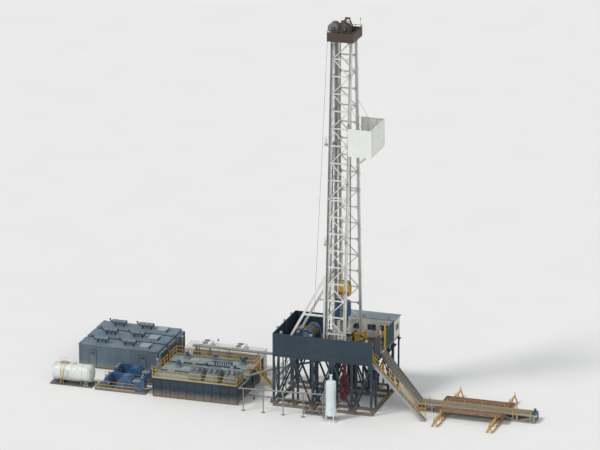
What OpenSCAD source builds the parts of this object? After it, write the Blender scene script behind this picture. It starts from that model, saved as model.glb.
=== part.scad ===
// Land drilling rig at half of its real size, in millimetres.
// The origin is the centre of the well at ground level. +Z is up, +X points from the well
// to the pipe ramp and the catwalk, -Y is the mud side and +Y is the driller's side.

/* [Substructure] */
// Height of the drill floor above the ground
floor_h = 3800; // [3400:50:4400]
// Distance from the well to the front edge of the floor
sub_front = 2700; // [2500:50:3100]
// Distance from the well to the rear edge of the floor
sub_rear = 4300; // [4100:50:4700]
// Half of the floor's width
sub_half_w = 2500; // [2400:50:2800]
// Width of each of the two side boxes
box_w = 1150; // [950:25:1200]
// Number of truss bays along a side box
sub_bays = 5; // [4:1:6]
// Depth of the top and bottom chords of a side box
sub_chord = 200; // [160:10:240]
// Width of the posts of a side box
sub_post = 140; // [100:10:180]
// Width of the diagonals of a side box
sub_brace = 100; // [60:10:130]
// Thickness of the floor deck
deck_t = 60; // [40:5:90]
// Depth of the beams under the floor
beam_h = 300; // [240:10:380]
// Height of the wind walls round the floor
wall_h = 1350; // [900:50:1500]

/* [Mast] */
// Height of the mast from the floor to the crown frame
mast_h = 21600; // [20400:200:23000]
// Number of bays in each of the two mast sections
mast_bays = 9; // [8:1:10]
// Width between the leg centres at the floor
mast_base_w = 3800; // [3700:50:3900]
// Width between the leg centres at the crown
mast_top_w = 1100; // [1050:25:1250]
// Distance between the rear and front legs
mast_depth = 1300; // [1250:25:1400]
// Distance of the rear legs behind the well
mast_back = 750; // [740:10:800]
// Size of a leg's section
leg = 180; // [160:5:200]
// Thickness of a leg's flanges and web
leg_plate = 24; // [16:2:30]
// Size of the level bars between the legs
girt = 80; // [70:5:90]
// Size of the slanting bars between the legs
brace = 60; // [40:5:65]
// Bays left open at the foot of the back, for the drawworks line
window_bays = 2; // [2:1:3]
// Height of the racking board above the floor
rack_h = 14200; // [13600:100:14700]
// How far the racking board reaches out from the mast
rack_reach = 1600; // [1400:50:1800]
// Half of the racking board's width
rack_half_w = 1500; // [1400:50:1700]
// Width of one finger of the racking board
finger_w = 32; // [24:2:40]
// Distance from one finger to the next
finger_pitch = 96; // [88:4:120]
// Height of the wind wall round the racking board
rack_wall_h = 1900; // [1500:50:2200]
// Height of the raising frame behind the mast
a_frame_h = 5400; // [5000:100:5800]

/* [Hoist] */
// Radius of a sheave at the bottom of its groove
tread_r = 350; // [320:5:370]
// Depth of a sheave's groove
groove = 35; // [30:1:45]
// Thickness of a sheave
sheave_t = 50; // [44:2:56]
// Distance from one sheave to the next
sheave_pitch = 75; // [66:3:84]
// Radius of the drilling line
line_r = 9; // [7:0.5:10]
// Height of the crown shaft above the crown frame
shaft_h = 500; // [460:10:600]
// Height of the travelling block's shaft above the floor
block_h = 4350; // [4300:50:4600]
// Radius of the drawworks drum with its line
drum_r = 300; // [250:10:340]
// Width of the square rail that guides the top drive
rail_w = 150; // [130:5:170]
// Running clearance of the moving pieces
run_gap = 10; // [6:1:14]

/* [Well] */
// Radius of the hole through the rotary table
rotary_r = 175; // [150:5:200]
// Radius of the flange that sits on the well head
flange_r = 168; // [160:1:180]
// Radius of the bolt circle of that flange
bolt_circle_r = 147.6; // [144:0.1:150]
// Radius of a bolt hole of that flange
bolt_r = 11.1; // [9:0.1:12]
// Thickness of that flange
flange_t = 60; // [50:2:70]

/* [Doghouse] */
// Length of the doghouse
dog_len = 4400; // [4000:50:4700]
// Width of the doghouse
dog_w = 1300; // [1200:25:1500]
// Height of the doghouse walls
dog_h = 1300; // [1200:25:1400]
// Thickness of the doghouse walls
dog_wall = 40; // [30:5:60]

/* [Pipe handling] */
// Height of the catwalk
cat_h = 540; // [480:10:600]
// Length of the catwalk
cat_len = 8400; // [8000:100:9000]
// Width of the catwalk
cat_w = 1000; // [900:20:1100]
// How far the ramp reaches out from the floor
ramp_run = 2700; // [2500:50:2900]
// Width of the ramp
ramp_w = 900; // [800:20:1000]
// Thickness of the ramp
ramp_t = 160; // [120:10:200]
// Radius of a pipe on the racks
pipe_r = 32; // [25:1:40]
// Number of pipes on each side's racks
pipe_count = 12; // [4:1:14]
// Number of steps of a stair
stair_steps = 36; // [32:1:40]
// Width of a stair
stair_w = 450; // [400:10:500]

/* [Mud system] */
// Length of a mud tank
tank_len = 6000; // [5600:100:6300]
// Width of a mud tank
tank_w = 1500; // [1400:25:1600]
// Height of a mud tank's walls
tank_h = 1250; // [1100:25:1400]
// Thickness of a mud tank's walls
tank_wall = 30; // [20:2:40]
// Gap between two mud tanks
tank_gap = 300; // [250:10:400]
// Distance from the well to the first end of the mud tanks
tank_x = 6600; // [6400:50:6900]
// Distance from the well to the near side of the mud tanks
tank_y = 3300; // [3100:50:3500]
// Radius of the mud-gas separator's vessel
sep_r = 340; // [300:10:380]
// Height of the mud-gas separator's vessel
sep_h = 2300; // [2000:50:2500]
// Thickness of the walls of the separator and the fuel tank
vessel_wall = 16; // [10:2:24]
// Radius of the flow line
flow_r = 75; // [60:5:90]
// Radius of the pipes of the choke manifold
choke_r = 35; // [30:1:40]
// Radius of the line from the separator to the shakers
return_r = 50; // [40:2:60]
// Distance along X from the mud tanks to the mud pumps
pump_x = 600; // [500:50:800]

/* [Power] */
// Length of a generator house
house_len = 6000; // [5600:100:6300]
// Width of a generator house
house_w = 1450; // [1300:25:1500]
// Height of a generator house
house_h = 1500; // [1400:25:1600]
// Gap between two generator houses
house_gap = 350; // [300:25:450]
// Distance along X from the mud tanks to the generator houses
house_x = 800; // [700:50:1000]

/* [Hidden] */
$fn = 48;
fit = 0.5;
seat = 0.3;
sub_plane = 110;
tie_h = 120;
inner_y = sub_half_w - box_w;
sub_len = sub_front + sub_rear;
box_top = floor_h - deck_t;
post_x = [for (i = [0:sub_bays]) -sub_rear + sub_post / 2 + i * (sub_len - sub_post) / sub_bays];
rail_h = 550;
rail_bar = 25;
wall_t = 25;

mast_front = mast_depth - mast_back;
mast_top = floor_h + mast_h;
lean = atan((mast_base_w - mast_top_w) / 2 / mast_h);
foot_h = 300;
foot_plate = 30;
tongue_t = 60;
pin_r = 45;
pin_h = 150;
splice_z = floor_h + mast_h / 2;
splice_gap = foot_plate + girt / 2 + 20;
rear_face = -mast_back - leg / 2;
front_face = mast_front + leg / 2;
back_bars_front = -mast_back + girt / 2;

rack_z = floor_h + rack_h;
rack_bar = 80;
rack_x0 = front_face + fit;
rack_x1 = rack_x0 + rack_reach;
diving_w = 440;
throat = 130;

sheave_r = tread_r + groove;
line_x = tread_r + line_r + seat;
shaft_r = 60;
crown_t = 200;
crown_z = mast_top + fit;
shaft_z = crown_z + crown_t + shaft_h;
crown_back = mast_back + leg / 2 + 150;
crown_front = mast_front + leg / 2 + 200;
crown_half_w = 1000;
well_hole_x = line_x + line_r + 40;
main_half = 2 * sheave_pitch + sheave_t / 2;
outer_y = main_half + 110;
outer_x = -mast_back - 20;
block_z = floor_h + block_h;
block_half = 1.5 * sheave_pitch + sheave_t / 2 + 8;
cheek_t = 40;
dw_x = -2450;
drum_z = floor_h + 760;
drum_half = 600;
dead_y = outer_y;

rotary_half = 440;
rotary_h = 120;

dog_x0 = -1700;
dog_y0 = sub_half_w + fit;
cat_x0 = sub_front + ramp_run - 350;
cat_x1 = cat_x0 + cat_len;
stair_run = (stair_steps + 1) * 100;
tread_t = 20;
stringer_t = 30;
deck_h = tank_h + 120;
tank_end = tank_x + tank_len;
pump_front = tank_end + pump_x;
house_front = tank_end + house_x;
pump_y = -3300;
pump_pitch = 1900;
house_y = 850;

// General shapes

function half_w(z) = mast_base_w / 2 - (z - floor_h) * tan(lean);

// A wide-flange section whose flanges face along X
function i_section(w, d, flange, web) = [
    [-w / 2, -d / 2], [-w / 2 + flange, -d / 2], [-w / 2 + flange, -web / 2], [w / 2 - flange, -web / 2],
    [w / 2 - flange, -d / 2], [w / 2, -d / 2], [w / 2, d / 2], [w / 2 - flange, d / 2],
    [w / 2 - flange, web / 2], [-w / 2 + flange, web / 2], [-w / 2 + flange, d / 2], [-w / 2, d / 2]
];

// A flat bar from p to q in a plane
module bar(p, q, w) {
    translate(p) rotate(atan2(q.y - p.y, q.x - p.x)) translate([0, -w / 2]) square([norm(q - p), w]);
}

// A round rod from p to q
module rod(p, q, r) {
    d = q - p;
    translate(p) rotate([0, acos(d.z / norm(d)), atan2(d.y, d.x)]) cylinder(h = norm(d), r = r);
}

// Raises a drawing in X and Z, t thick about Y = 0
module upright(t) {
    rotate([90, 0, 0]) linear_extrude(t, center = true) children();
}

// Raises a drawing in Y and Z, t thick about X = 0
module crosswise(t) {
    rotate([90, 0, 90]) linear_extrude(t, center = true) children();
}

// A wide-flange beam along Y, standing on z = 0
module beam_y(len, w, h, plate) {
    translate([0, 0, h / 2]) upright(len) rotate(90) polygon(i_section(h, w, plate, plate));
}

// A wide-flange beam along X, standing on z = 0
module beam_x(len, w, h, plate) {
    translate([0, 0, h / 2]) crosswise(len) rotate(90) polygon(i_section(h, w, plate, plate));
}

module near_side() {
    mirror([0, 1, 0]) children();
}

// Half of the outline of a dished end, from its rim to the flat at its middle
function dish(r, depth) = [for (a = [0:16:80]) [r * cos(a), depth * sin(a) / sin(80)]];

// A hollow dished end that stands on its rim
module dished_end(r, depth, wall) {
    outer = dish(r, depth);
    inner = dish(r - wall, depth - wall);
    rotate_extrude()
        polygon(concat(outer, [[0, depth], [0, depth - wall]], [for (i = [len(inner) - 1:-1:0]) inner[i]]));
}

// A handrail drawing, len long, with a post every pitch or less
module rail_drawing(len, pitch = 900) {
    n = ceil(len / pitch);
    for (i = [0:n])
        translate([i * (len - rail_bar) / n, 0]) square([rail_bar, rail_h]);
    for (z = [rail_h - rail_bar, rail_h / 2])
        translate([0, z]) square([len, rail_bar]);
    square([len, rail_bar * 2]);
}

// Substructure

module box_truss() {
    clear = box_top - 2 * sub_chord;
    for (z = [0, box_top - sub_chord])
        translate([-sub_rear, z]) square([sub_len, sub_chord]);
    for (x = post_x)
        translate([x - sub_post / 2, 0]) square([sub_post, box_top]);
    for (i = [0:sub_bays - 1]) {
        rise = i % 2 == 0;
        bar([post_x[i], rise ? sub_chord : sub_chord + clear],
            [post_x[i + 1], rise ? sub_chord + clear : sub_chord], sub_brace);
    }
}

// A side box: two trusses with level ties between their posts
module side_box() {
    tie = box_w - 2 * (sub_plane + seat);
    color("midnightblue") {
        for (y = [inner_y + sub_plane / 2, sub_half_w - sub_plane / 2])
            translate([0, y, 0]) upright(sub_plane) box_truss();
        for (x = post_x)
            for (z = [0, box_top - tie_h])
                translate([x - sub_post / 2, inner_y + sub_plane + seat, z]) cube([sub_post, tie, tie_h]);
    }
}

module cross_beams() {
    span = 2 * (inner_y - fit);
    beam_w = 180;
    under_drum = dw_x - 250;
    color("midnightblue") {
        for (x = [-sub_rear + beam_w / 2, under_drum, -rotary_half - beam_w / 2, rotary_half + beam_w / 2,
                  sub_front - beam_w / 2])
            translate([x, 0, box_top - beam_h]) beam_y(span, beam_w, beam_h, 20);
        for (x = [-sub_rear + beam_w / 2, sub_front - beam_w / 2])
            translate([x, 0, 0]) beam_y(span, beam_w, sub_chord, 20);
    }
}

module floor_deck() {
    color("dimgray") difference() {
        translate([-sub_rear, -sub_half_w, box_top + fit])
            cube([sub_len, 2 * sub_half_w, deck_t - fit]);
        translate([-rotary_half - fit, -rotary_half - fit, box_top - 1])
            cube([2 * (rotary_half + fit), 2 * (rotary_half + fit), deck_t + 2]);
    }
}

module rotary_table() {
    color("slategray") difference() {
        union() {
            translate([-rotary_half, -rotary_half, box_top + fit])
                cube([2 * rotary_half, 2 * rotary_half, deck_t + 20]);
            translate([0, 0, floor_h]) cylinder(h = rotary_h, r = rotary_half - 60);
        }
        translate([0, 0, box_top - 1]) cylinder(h = deck_t + rotary_h + 10, r = rotary_r);
        translate([0, 0, floor_h + rotary_h - 40]) cylinder(h = 50, r = rotary_r + 60);
    }
}

// A wall panel along X with a post every bay and a rail top and bottom
module wind_wall(len) {
    n = ceil(len / 1300);
    color("midnightblue") {
        cube([len, wall_t, wall_h - fit]);
        for (i = [0:n])
            translate([i * (len - 50) / n, -40, 0]) cube([50, 41, wall_h - fit]);
        for (z = [0, wall_h - 60])
            translate([0, -30, z]) cube([len, 31, 59]);
    }
}

stair_y = -sub_half_w + 100;

// The walls round the floor, with gaps at the stairs and at the ramp
module wind_walls() {
    z = floor_h + fit;
    corner = sub_half_w - 65 - seat;
    side_gap = stair_w + 160;
    y0 = stair_y + stair_w + 60;
    door = ramp_w / 2 + 40;
    translate([-sub_rear, -sub_half_w + wall_t, z]) near_side() wind_wall(sub_len);
    translate([-sub_rear, sub_half_w - wall_t, z]) wind_wall(sub_rear + dog_x0 - side_gap);
    translate([-sub_rear + wall_t, -corner, z]) rotate(90) wind_wall(2 * corner);
    translate([sub_front - wall_t, -door, z]) rotate(-90) wind_wall(-door - y0);
    translate([sub_front - wall_t, sub_half_w - fit, z]) rotate(-90) wind_wall(sub_half_w - fit - door);
}

// Stairs and ramp

// A straight flight that goes down along +X from z = floor_h, between y = 0 and y = stair_w
module flight() {
    rise = floor_h / (stair_steps + 1);
    going = stair_run / (stair_steps + 1);
    side = [[0, floor_h], [0, floor_h - 260], [stair_run - 260 * stair_run / floor_h, 0], [stair_run, 0]];
    color("silver") {
        for (y = [stringer_t / 2, stair_w - stringer_t / 2])
            translate([0, y, 0]) upright(stringer_t) polygon(side);
        for (i = [1:stair_steps])
            translate([(i - 1) * going + 10, stringer_t + fit, floor_h - i * rise - tread_t])
                cube([going + 20, stair_w - 2 * (stringer_t + fit), tread_t]);
    }
}

side_x = dog_x0 - 30;

// A flight beside the ramp, and one at the side with its landing at the doghouse door
module stairs() {
    landing = stair_w + 100;
    translate([sub_front + fit, stair_y, 0]) flight();
    color("silver") translate([side_x - landing, sub_half_w + fit, floor_h - 80])
        cube([landing - fit, stair_w + 60, 80 - fit]);
    translate([side_x - landing - fit, sub_half_w + 40, 0]) mirror([1, 0, 0]) flight();
}

// A handrail down a flight that starts at x = 0
module flight_rail() {
    slope = floor_h / stair_run;
    n = 6;
    color("gold") upright(rail_bar) {
        for (i = [0:n]) {
            x = 30 + i * (stair_run - 120) / n;
            translate([x, floor_h - x * slope + 1]) square([rail_bar, rail_h]);
        }
        for (up = [rail_h, rail_h / 2])
            polygon([[30, floor_h - 30 * slope + up + 1], [30, floor_h - 30 * slope + up + 1 - 30],
                     [stair_run - 65, 65 * slope + up + 1 - 30], [stair_run - 65, 65 * slope + up + 1]]);
    }
}

module stair_rails() {
    for (y = [rail_bar / 2, stair_w - rail_bar / 2]) {
        translate([sub_front + fit, stair_y + y, 0]) flight_rail();
        translate([side_x - stair_w - 100 - fit, sub_half_w + 40 + y, 0]) mirror([1, 0, 0]) flight_rail();
    }
}

module pipe_ramp() {
    x0 = sub_front + fit;
    x1 = sub_front + ramp_run;
    z1 = cat_h + fit;
    slope = (floor_h - z1) / (x1 - x0);
    v = ramp_t * sqrt(1 + slope * slope);
    plate = [[x0, floor_h], [x0, floor_h - v], [x1 - v / slope, z1], [x1, z1]];
    curb = [[x0, floor_h - 40], [x0, floor_h + 70], [x1, z1 + 70], [x1, z1], [x1 - 40 / slope, z1]];
    color("slategray") {
        upright(ramp_w) polygon(plate);
        for (y = [-ramp_w / 2 + 20, ramp_w / 2 - 20])
            translate([0, y, 0]) upright(40) polygon(curb);
    }
}

// Doghouse

dog_z = floor_h + fit;
sill = 520;
window_h = 420;
window_w = 620;
door_w = 460;
door_h = 1050;
dog_windows = [500, 1500, 2500, 3400];

module dog_wall_long(windows) {
    difference() {
        cube([dog_len, dog_wall, dog_h]);
        for (x = windows)
            translate([x, -1, sill]) cube([window_w, dog_wall + 2, window_h]);
    }
}

door_y = (dog_w - door_w) / 2;

module doghouse_walls() {
    inside = dog_w - 2 * (dog_wall + fit);
    color("gainsboro") translate([dog_x0, dog_y0, dog_z]) {
        dog_wall_long(dog_windows);
        translate([0, dog_w - dog_wall, 0]) dog_wall_long([dog_windows[1], dog_windows[2]]);
        translate([0, dog_wall + fit, 0]) {
            cube([dog_wall, door_y - dog_wall - 2 * fit, dog_h]);
            translate([0, door_y + door_w - dog_wall, 0])
                cube([dog_wall, dog_w - door_y - door_w - dog_wall - 2 * fit, dog_h]);
            translate([0, door_y - dog_wall - fit, door_h + fit])
                cube([dog_wall, door_w + fit, dog_h - door_h - fit]);
        }
        translate([dog_len - dog_wall, dog_wall + fit, 0]) difference() {
            cube([dog_wall, inside, dog_h]);
            translate([-1, (inside - window_w) / 2, sill]) cube([dog_wall + 2, window_w, window_h]);
        }
    }
}

module doghouse_roof() {
    color("silver") translate([dog_x0 - 60, dog_y0, dog_z + dog_h + fit])
        cube([dog_len + 120, dog_w + 60, 60]);
}

// The doghouse stands on a floor slab, two trusses and the ties between them
module doghouse_base() {
    n = 4;
    slab = 120;
    deep = 100;
    top = floor_h - slab - seat;
    step = (dog_len - deep) / n;
    color("midnightblue") {
        translate([dog_x0, dog_y0, floor_h - slab]) cube([dog_len, dog_w, slab]);
        for (y = [dog_y0 + deep / 2, dog_y0 + dog_w - deep / 2])
            translate([dog_x0, y, 0]) upright(deep) intersection() {
                square([dog_len, top]);
                union() {
                    for (i = [0:n])
                        translate([i * step, 0]) square([deep, top]);
                    for (z = [0, top - slab])
                        translate([0, z]) square([dog_len, slab]);
                    for (i = [0:n - 1])
                        bar([deep / 2 + i * step, i % 2 == 0 ? slab / 2 : top - slab / 2],
                            [deep / 2 + (i + 1) * step, i % 2 == 0 ? top - slab / 2 : slab / 2], 70);
                }
            }
        for (i = [0:n])
            translate([dog_x0 + i * step, dog_y0 + deep + seat, 0])
                cube([deep, dog_w - 2 * (deep + seat), deep]);
    }
}

// Window panes and the shut door
module doghouse_windows() {
    mid_wall = dog_y0 + dog_wall / 2 - 5;
    color("lightblue") for (far = [0, 1])
        for (x = far == 1 ? [dog_windows[1], dog_windows[2]] : dog_windows)
            translate([dog_x0 + x + fit, mid_wall + far * (dog_w - dog_wall), dog_z + sill + fit])
                cube([window_w - 2 * fit, 10, window_h - 2 * fit]);
    color("lightblue") translate([dog_x0 + dog_len - dog_wall / 2 - 5, dog_y0 + (dog_w - window_w) / 2 + fit,
                                  dog_z + sill + fit])
        cube([10, window_w - 2 * fit, window_h - 2 * fit]);
    color("slategray") translate([dog_x0 + 10, dog_y0 + door_y + fit, dog_z])
        cube([dog_wall - 20, door_w - 2 * fit, door_h - fit]);
}

// Drawworks

module drawworks() {
    side_t = 260;
    side_r = 500;
    motor_x = dw_x - 700;
    motor_y = 430;
    motor_len = 620;
    motor_r = 230;
    color("slategray") {
        translate([dw_x - 950, -drum_half - side_t, floor_h + fit])
            cube([1750, 2 * (drum_half + side_t), 140]);
        for (y = [-drum_half - side_t, drum_half]) difference() {
            translate([0, y + side_t / 2, 0]) upright(side_t) {
                translate([dw_x - side_r, floor_h + 100]) square([2 * side_r, drum_z - floor_h - 100]);
                translate([dw_x, drum_z]) circle(r = side_r);
            }
            translate([dw_x, y - 1, drum_z]) rotate([-90, 0, 0]) cylinder(h = side_t + 2, r = shaft_r + fit);
        }
        for (s = [-1, 1]) {
            translate([motor_x, s * motor_y, floor_h + 420]) rotate([90, 0, 0])
                cylinder(h = motor_len, r = motor_r, center = true);
            translate([motor_x - 160, s * motor_y - 250, floor_h + 100]) cube([320, 500, 160]);
        }
    }
}

module drawworks_drum() {
    wide = drum_half - 10;
    color("silver") translate([dw_x, 0, drum_z]) rotate([90, 0, 0]) {
        cylinder(h = 2 * wide, r = drum_r, center = true);
        for (z = [-wide + 20, wide - 20])
            translate([0, 0, z]) cylinder(h = 40, r = drum_r + 130, center = true);
        cylinder(h = 2 * (drum_half + 200), r = shaft_r, center = true);
    }
}

// Raising frame behind the mast

module raising_frame() {
    w = 160;
    y = 1600;
    x = rear_face - fit - w / 2;
    foot = -sub_rear + 420;
    top = floor_h + a_frame_h;
    color("white") {
        for (s = [-1, 1]) translate([0, s * y, 0]) upright(140) intersection() {
            translate([-sub_rear, floor_h + fit]) square([sub_rear, a_frame_h]);
            union() {
                bar([x, floor_h - 100], [x, top], w);
                bar([foot, floor_h - 60], [x, top - 60], w);
                bar([(foot + x) / 2, floor_h + a_frame_h / 2 - 60], [x, floor_h + a_frame_h / 2 - 60], 110);
                translate([foot - 160, floor_h]) square([420, 50]);
                translate([x - 130, floor_h]) square([210, 50]);
            }
        }
        translate([x - 70, -y + 70 + seat, top - 220]) cube([130, 2 * (y - 70 - seat), 180]);
    }
}

// Mast

module mast_shoes() {
    color("gray") for (s = [-1, 1])
        for (x = [-mast_back, mast_front]) translate([x, s * mast_base_w / 2, floor_h + fit]) {
            translate([-130, -130, 0]) cube([260, 260, 40]);
            for (y = [-tongue_t / 2 - fit - 40, tongue_t / 2 + fit]) {
                translate([-90, y, 39]) cube([180, 40, pin_h - 39]);
                translate([0, y, pin_h]) rotate([-90, 0, 0]) cylinder(h = 40, r = 90);
            }
            translate([0, 0, pin_h]) rotate([90, 0, 0])
                cylinder(h = tongue_t + 81, r = pin_r - fit, center = true);
        }
}

// The tongue and end plate that a leg stands on
module leg_foot(x) {
    translate([x, mast_base_w / 2, floor_h]) {
        translate([-110, -120, foot_h - foot_plate]) cube([220, 240, foot_plate]);
        difference() {
            union() {
                translate([-90, -tongue_t / 2, pin_h]) cube([180, tongue_t, foot_h - pin_h - 1]);
                translate([0, 0, pin_h]) rotate([90, 0, 0]) cylinder(h = tongue_t, r = 90, center = true);
            }
            translate([0, 0, pin_h]) rotate([90, 0, 0])
                cylinder(h = tongue_t + 2, r = pin_r, center = true);
        }
    }
}

// Height along the leaning side of a level z
function run(z) = (z - floor_h) / cos(lean);

// One leaning side of the mast between two levels, on +Y, with its bracing from lat0 to lat1
module mast_side(z0, z1, lat0, lat1) {
    bay = (lat1 - lat0) / mast_bays;
    x0 = -mast_back + leg / 2 - leg_plate / 2;
    x1 = mast_front - leg / 2 + leg_plate / 2;
    color("whitesmoke") intersection() {
        translate([-mast_back - leg, 0, z0]) cube([mast_depth + 2 * leg, mast_base_w, z1 - z0]);
        translate([0, mast_base_w / 2, floor_h]) rotate([lean, 0, 0]) {
            for (x = [-mast_back, mast_front])
                translate([x, 0, run(z0) - 200]) linear_extrude(run(z1) - run(z0) + 400)
                    polygon(i_section(leg, leg, leg_plate, leg_plate));
            upright(girt) for (i = [0:mast_bays])
                translate([x0, run(lat0 + i * bay) - girt / 2]) square([x1 - x0, girt]);
            upright(brace) intersection() {
                translate([x0, 0]) square([x1 - x0, run(z1) + 100]);
                for (i = [0:mast_bays - 1]) {
                    up = i % 2 == 0;
                    bar([up ? x0 : x1, run(lat0 + i * bay)],
                        [up ? x1 : x0, run(lat0 + (i + 1) * bay)], brace);
                }
            }
        }
    }
}

// Plates that close the ends of a section's legs at level z, from z to z + foot_plate
module leg_plates(z) {
    color("whitesmoke") for (x = [-mast_back, mast_front])
        translate([x - 120, half_w(z) - 120, z]) cube([240, 240, foot_plate]);
}

// The braced back of the mast between two levels, with the first bays left open
module mast_back_panel(z0, z1, open_bays) {
    bay = (z1 - z0) / mast_bays;
    trim = (leg_plate / 2 + fit) / cos(lean);
    za = z0 - girt;
    zb = z1 + girt;
    ya = half_w(za) - trim;
    yb = half_w(zb) - trim;
    edge = [[-ya, za], [ya, za], [yb, zb], [-yb, zb]];
    color("whitesmoke") translate([-mast_back, 0, 0]) {
        crosswise(girt) intersection() {
            polygon(edge);
            for (i = [open_bays:mast_bays])
                translate([-mast_base_w, z0 + i * bay - girt / 2]) square([2 * mast_base_w, girt]);
        }
        crosswise(brace) intersection() {
            polygon(edge);
            for (i = [open_bays:mast_bays - 1])
                for (s = [-1, 1])
                    bar([s * half_w(z0 + i * bay), z0 + i * bay], [0, z0 + (i + 1) * bay], brace);
        }
    }
}

lower_lat0 = floor_h + foot_h + girt / 2 + 20;
lower_lat1 = splice_z - splice_gap;
upper_lat0 = splice_z + fit + splice_gap;
upper_lat1 = mast_top - splice_gap;

module mast_lower_side() {
    mast_side(floor_h + foot_h - foot_plate / 2, splice_z - foot_plate / 2, lower_lat0, lower_lat1);
    leg_plates(splice_z - foot_plate);
    color("whitesmoke") for (x = [-mast_back, mast_front]) leg_foot(x);
}

module mast_upper_side() {
    mast_side(splice_z + fit + foot_plate / 2, mast_top - foot_plate / 2, upper_lat0, upper_lat1);
    leg_plates(splice_z + fit);
    leg_plates(mast_top - foot_plate);
}

ladder_y = 260;

module mast_ladder() {
    x1 = -mast_back - girt / 2 - fit;
    y = ladder_y;
    w = 240;
    z0 = floor_h + fit;
    z1 = mast_top - 60;
    n = floor((z1 - z0) / 300);
    color("gold") translate([x1 - 20, y, 0]) crosswise(40) {
        for (s = [-w / 2, w / 2 - 30])
            translate([s, z0]) square([30, z1 - z0]);
        for (i = [1:n])
            translate([-w / 2, z0 + i * (z1 - z0) / (n + 1)]) square([w, 24]);
    }
}

module guide_rail() {
    color("silver") translate([back_bars_front + fit, -rail_w / 2, floor_h + 1500])
        cube([rail_w, rail_w, mast_h - 1500 - foot_plate]);
}

// Crown

module crown_frame() {
    color("saddlebrown") {
        translate([0, 0, crown_z]) linear_extrude(crown_t) difference() {
            translate([-crown_back, -crown_half_w]) square([crown_back + crown_front, 2 * crown_half_w]);
            translate([-well_hole_x, -main_half - 10]) square([2 * well_hole_x, 2 * main_half + 20]);
            for (s = [-1, 1]) {
                translate([-crown_back + 80, s > 0 ? 700 : -900])
                    square([crown_back + crown_front - 160, 200]);
            }
        }
        for (y = [-main_half - 75, main_half + 15]) bearing(0, y);
        for (s = [-1, 1]) for (d = [-sheave_t / 2 - 75, sheave_t / 2 + 15])
            bearing(outer_x, s * outer_y + d);
    }
}

// A bearing stand, 60 wide along Y from y
module bearing(x, y) {
    z0 = crown_z + crown_t - 1;
    difference() {
        union() {
            translate([x - 90, y, z0]) cube([180, 60, shaft_z - z0]);
            translate([x, y, shaft_z]) rotate([-90, 0, 0]) cylinder(h = 60, r = 110);
        }
        translate([x, y - 1, shaft_z]) rotate([-90, 0, 0]) cylinder(h = 62, r = shaft_r + fit);
    }
}

// One grooved sheave in the X-Z plane about Y = 0
module sheave() {
    flat = line_r + 4;
    rotate([90, 0, 0]) rotate_extrude() polygon([
        [0, -sheave_t / 2], [sheave_r, -sheave_t / 2], [sheave_r, -sheave_t / 2 + 8], [tread_r, -flat],
        [tread_r, flat], [sheave_r, sheave_t / 2 - 8], [sheave_r, sheave_t / 2], [0, sheave_t / 2]]);
}

module shaft_y(half) {
    rotate([90, 0, 0]) cylinder(h = 2 * half, r = shaft_r, center = true);
}

module crown_sheaves() {
    color("dimgray") {
        translate([0, 0, shaft_z]) {
            for (i = [-2:2]) translate([0, i * sheave_pitch, 0]) sheave();
            shaft_y(main_half + 80);
        }
        for (s = [-1, 1]) translate([outer_x, s * outer_y, shaft_z]) {
            sheave();
            shaft_y(sheave_t / 2 + 80);
        }
    }
}

// Rails of the crown platform with their guard plates, and the small lifting frame over the sheaves
module crown_rail() {
    plate_t = 8;
    plate_h = 420;
    z = crown_z + crown_t + fit;
    x0 = -crown_back;
    x1 = crown_front;
    top = shaft_z + sheave_r + 260;
    color("saddlebrown") {
        for (s = [-1, 1]) {
            translate([x0, s * (crown_half_w - rail_bar / 2), z]) {
                upright(rail_bar) rail_drawing(x1 - x0, 500);
                upright(plate_t) square([x1 - x0, plate_h]);
            }
            translate([0, s * (outer_y + sheave_t / 2 + 130), 0]) upright(70) {
                for (d = [-1, 1]) {
                    intersection() {
                        translate([-800, z]) square([1600, top - z]);
                        bar([d * 600, z - 80], [d * 90, top], 70);
                    }
                    translate([d * 550 - 90, z]) square([180, 30]);
                }
                translate([-180, top - 80]) square([360, 80]);
            }
        }
        translate([-60, -outer_y - sheave_t / 2 - 130, top - 80])
            cube([120, 2 * (outer_y + sheave_t / 2 + 130), 80]);
        translate([x1 - rail_bar / 2, -crown_half_w + rail_bar + 5, z]) {
            crosswise(rail_bar) rail_drawing(2 * (crown_half_w - rail_bar - 5), 500);
            crosswise(plate_t) square([2 * (crown_half_w - rail_bar - 5), plate_h]);
        }
    }
}

// Racking board

module racking_board() {
    fingers();
    brace_y = half_w(rack_z - 1500) - 40;
    inner = rack_half_w - rack_bar;
    color("whitesmoke") {
        translate([0, 0, rack_z - rack_bar]) linear_extrude(rack_bar) {
            for (x = [rack_x0, rack_x1 - rack_bar])
                translate([x, -inner + seat]) square([rack_bar, 2 * (inner - seat)]);
            for (y = [-rack_half_w, inner])
                translate([rack_x0, y]) square([rack_reach, rack_bar]);
            translate([rack_x0 + rack_bar + seat, -diving_w / 2])
                square([rack_reach - 2 * (rack_bar + seat), diving_w]);
        }
        for (s = [-1, 1]) translate([0, s * brace_y, 0]) upright(60) intersection() {
            translate([rack_x0, 0]) square([rack_reach, rack_z - rack_bar - seat]);
            bar([rack_x0 - 200, rack_z - 1640], [rack_x1 - 60, rack_z - 60], 60);
        }
    }
}

// Each finger is held at a side beam and is free at its tip
module fingers() {
    inner = rack_half_w - rack_bar - seat;
    tip = diving_w / 2 + throat;
    n = floor((rack_reach - 2 * rack_bar) / finger_pitch);
    color("whitesmoke") translate([0, 0, rack_z - rack_bar / 2]) linear_extrude(rack_bar / 2)
        for (s = [-1, 1]) for (i = [1:n])
            translate([rack_x0 + rack_bar + (i - 0.5) * finger_pitch - finger_w / 2, s > 0 ? tip : -inner])
                square([finger_w, inner - tip]);
}

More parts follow.
